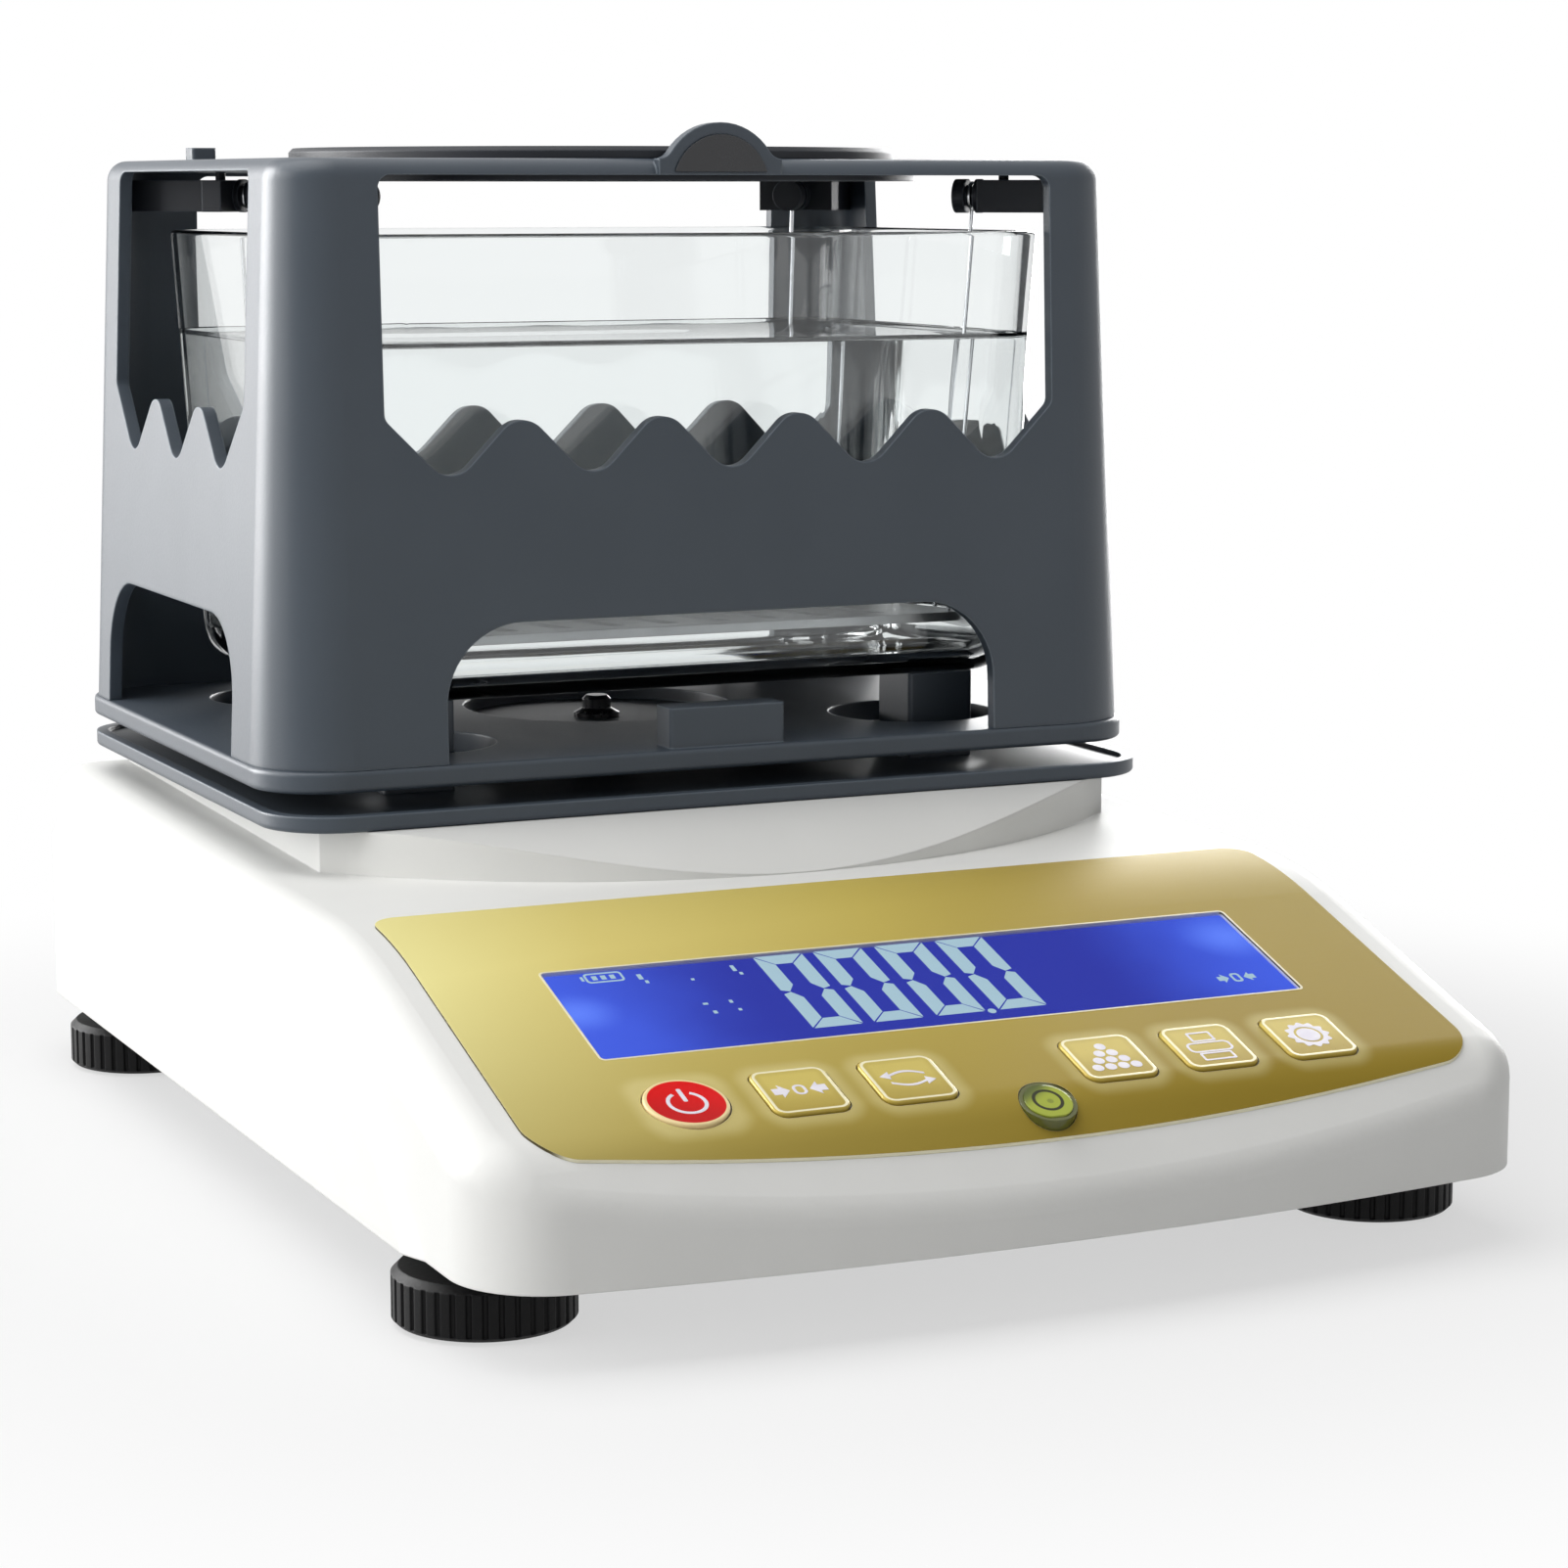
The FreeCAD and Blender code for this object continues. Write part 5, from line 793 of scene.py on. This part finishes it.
power = keySigns["power"]
powerArc = band(-outerX, power["y"], *power["ring"], *power["turn"], power["points"])
keySign("power_sign", [powerArc, roundBox(-outerX, *power["bar"])], "power_key")
zero = keySigns["zero"]
keySign("zero_key_sign", [
    arrowShape(-middleX - zero["arrowAway"], 0.0, zero["arrow"], 1),
    arrowShape(-middleX + zero["arrowAway"], 0.0, zero["arrow"], -1),
    roundBox(-middleX, 0.0, *zero["size"]), roundBox(-middleX, 0.0, *zero["inside"])], "zero_key")


# Bent arrow and its head, to one side or turned half round.
def turningArrow(x, side):
    mode = keySigns["mode"]
    y = side * mode["apart"]
    points = []
    for k in range(mode["points"] + 1):
        share = k / mode["points"]
        rise = mode["low"] + math.sin(share * math.pi) * mode["rise"]
        points.append((x + side * (share * mode["long"] - mode["start"]), y + side * rise))
    back = [(px, py - side * mode["wide"]) for px, py in reversed(points)]
    tipX, tipY = x - side * mode["tip"][0], y + side * mode["tip"][1]
    return points + back, [(tipX + side * px, tipY + side * py) for px, py in mode["head"]]


upper, upperHead = turningArrow(-innerX, 1)
lower, lowerHead = turningArrow(-innerX, -1)
keySign("mode_key_sign", [upper, lower], "mode_key")
keySign("mode_key_tips", [upperHead, lowerHead], "mode_key", lift=keySigns["tipLift"])
count = keySigns["count"]
dots = []
for rowNumber in range(count["rows"]):
    rowY = count["top"] - rowNumber * count["rowApart"]
    for k in range(rowNumber + 1):
        dotX = innerX + (k - rowNumber / 2) * count["apart"]
        dots.append(disc(dotX, rowY, count["radius"], count["points"]))
keySign("count_key_sign", dots, "count_key")
keySign("print_key_sign", [roundBox(middleX, *part) for part in keySigns["print"]], "print_key")
cog = keySigns["set"]
petals = []
for k in range(cog["points"]):
    turn = math.radians(k * 360 / cog["points"])
    reach = cog["reach"] + cog["tooth"] * math.cos(turn * cog["teeth"])
    petals.append((outerX + reach * math.cos(turn), reach * math.sin(turn)))
keySign("set_key_sign", [petals] + [disc(outerX, 0, radius, 32) for radius in cog["ring"]], "set_key")
print("key signs made")

# Water in the tank: tapered block with rounded corners and a rim that climbs the glass.
water = {
    "low": 88.1, "line": 150.4, "middleY": 60.0, "wide": 137.0, "deep": 93.0, "grow": 7.8,
    "corner": 11.4, "cornerSteps": 10, "floorRound": 4.2, "floorSteps": 5, "climb": 1.0,
    "rim": ((0.35, 0.45), (0.6, 0.33), (1.3, 0.22))}


def waterBlock():
    unpick()
    tall = water["line"] + water["climb"] - water["low"]
    bpy.ops.mesh.primitive_cube_add(size=1)
    piece = bpy.context.active_object
    piece.scale = (water["wide"] * mm, water["deep"] * mm, tall * mm)
    piece.location = (0, water["middleY"] * mm, (water["low"] + tall / 2) * mm)
    bpy.ops.object.transform_apply(location=True, rotation=True, scale=True)
    topZ, lowZ = (water["low"] + tall) * mm, water["low"] * mm

    def pick(wanted):
        bpy.ops.object.mode_set(mode="EDIT")
        bpy.ops.mesh.select_all(action="DESELECT")
        bpy.ops.object.mode_set(mode="OBJECT")
        points = piece.data.vertices
        for side in piece.data.edges:
            side.select = wanted([points[v].co for v in side.vertices])
        bpy.ops.object.mode_set(mode="EDIT")
        bpy.ops.mesh.select_mode(type="EDGE")

    def atTop(spots):
        return all(abs(spot.z - topZ) < 1e-5 for spot in spots)

    pick(atTop)
    centre = Vector((0, water["middleY"] * mm, topZ))
    growX = (water["wide"] + water["grow"]) / water["wide"]
    growY = (water["deep"] + water["grow"]) / water["deep"]
    bpy.ops.transform.resize(value=(growX, growY, 1), center_override=centre)
    pick(lambda spots: abs(spots[0].z - spots[1].z) > 0.02)
    bpy.ops.mesh.bevel(offset=water["corner"] * mm, segments=water["cornerSteps"])
    pick(lambda spots: all(abs(spot.z - lowZ) < 1e-5 for spot in spots))
    bpy.ops.mesh.bevel(offset=water["floorRound"] * mm, segments=water["floorSteps"])
    pick(atTop)
    bpy.ops.mesh.select_mode(type="FACE")
    for inward, drop in water["rim"]:
        bpy.ops.mesh.inset(thickness=inward * mm, depth=-drop * mm)
    bpy.ops.object.mode_set(mode="OBJECT")
    bpy.ops.object.shade_smooth_by_angle(angle=math.radians(40))
    settle(piece, "tank_water", tankWater, "housing")


waterBlock()
print("water made")

# Photograph's view point, and soft lamps in metres and watts; those with gloss show in reflections only.
view = {
    "place": (-0.28807, -0.65072, 0.17921), "pitch": 0.155, "yaw": -0.433, "lens": 87.55,
    "sensor": 36.0, "near": 0.01, "far": 50.0, "lampAim": (0.0, 0.02, 0.09)}
camera = bpy.data.objects.new("camera", bpy.data.cameras.new("camera"))
bpy.context.scene.collection.objects.link(camera)
camera.location = view["place"]
camera.rotation_euler = (math.pi / 2 - view["pitch"], 0, view["yaw"])
camera.data.lens = view["lens"]
camera.data.sensor_width = view["sensor"]
camera.data.clip_start, camera.data.clip_end = view["near"], view["far"]
bpy.context.scene.camera = camera

lamps = {
    "overhead": {"at": (-0.35, 0.1, 1.2), "size": (1.3, 1.1), "watts": 11.5, "gloss": False},
    "leftFill": {"at": (-1.15, 0.15, 0.5), "size": (0.8, 0.9), "watts": 8.0, "gloss": False},
    "leftStrip": {"at": (-0.95, 1.0, 0.42), "size": (0.75, 1.0), "watts": 37.0, "gloss": True},
    "rightStrip": {"at": (1.05, 1.05, 0.35), "size": (0.8, 0.9), "watts": 28.0, "gloss": True}}
for name, lamp in lamps.items():
    light = bpy.data.lights.new(name, "AREA")
    light.shape = "RECTANGLE"
    light.size, light.size_y = lamp["size"]
    light.energy = lamp["watts"]
    holder = bpy.data.objects.new(name, light)
    bpy.context.scene.collection.objects.link(holder)
    holder.location = lamp["at"]
    aim = Vector(view["lampAim"]) - Vector(lamp["at"])
    holder.rotation_euler = aim.to_track_quat("-Z", "Y").to_euler()
    holder.visible_camera = False
    if lamp["gloss"]:
        holder.visible_diffuse = False
        holder.visible_transmission = False

# Floor, nearly as bright as the background away from the part, and the white studio round it.
stage = {"size": 16, "share": 0.6, "near": 0.13, "far": 0.3, "matt": paint(225, 225, 225), "fill": 0.22}
unpick()
bpy.ops.mesh.primitive_plane_add(size=stage["size"])
floor = bpy.context.active_object
floor.name = "floor"
floorFinish = Finish(bpy.data.materials.new("floor"))
floorX, floorY, floorZ = floorFinish.axes(floorFinish.spot())
away = (floorX * floorX + floorY * floorY).root()
fade = stage["share"] + floorFinish.step(away, stage["near"], stage["far"]) * (1 - stage["share"])
matt = floorFinish.node("ShaderNodeBsdfDiffuse", {}, {"Color": stage["matt"]})
bright = floorFinish.node("ShaderNodeEmission", {}, {"Color": (1, 1, 1, 1)})
floorFinish.feed("Surface", floorFinish.node("ShaderNodeMixShader", {}, {
    0: fade * floorFinish.seen(), 1: matt, 2: bright}), "Material Output")
floor.data.materials.append(floorFinish.material)

world = bpy.data.worlds.new("studio")
bpy.context.scene.world = world
studio = Finish(world)
studio.feed("Strength", studio.node("ShaderNodeMapRange", {}, {
    "Value": studio.seen(), "To Min": stage["fill"], "To Max": 1.0}), "Background")
world.node_tree.nodes["Background"].inputs["Color"].default_value = (1, 1, 1, 1)

scene = bpy.context.scene
scene.view_settings.view_transform = "Standard"
print("camera, lights and floor ready")
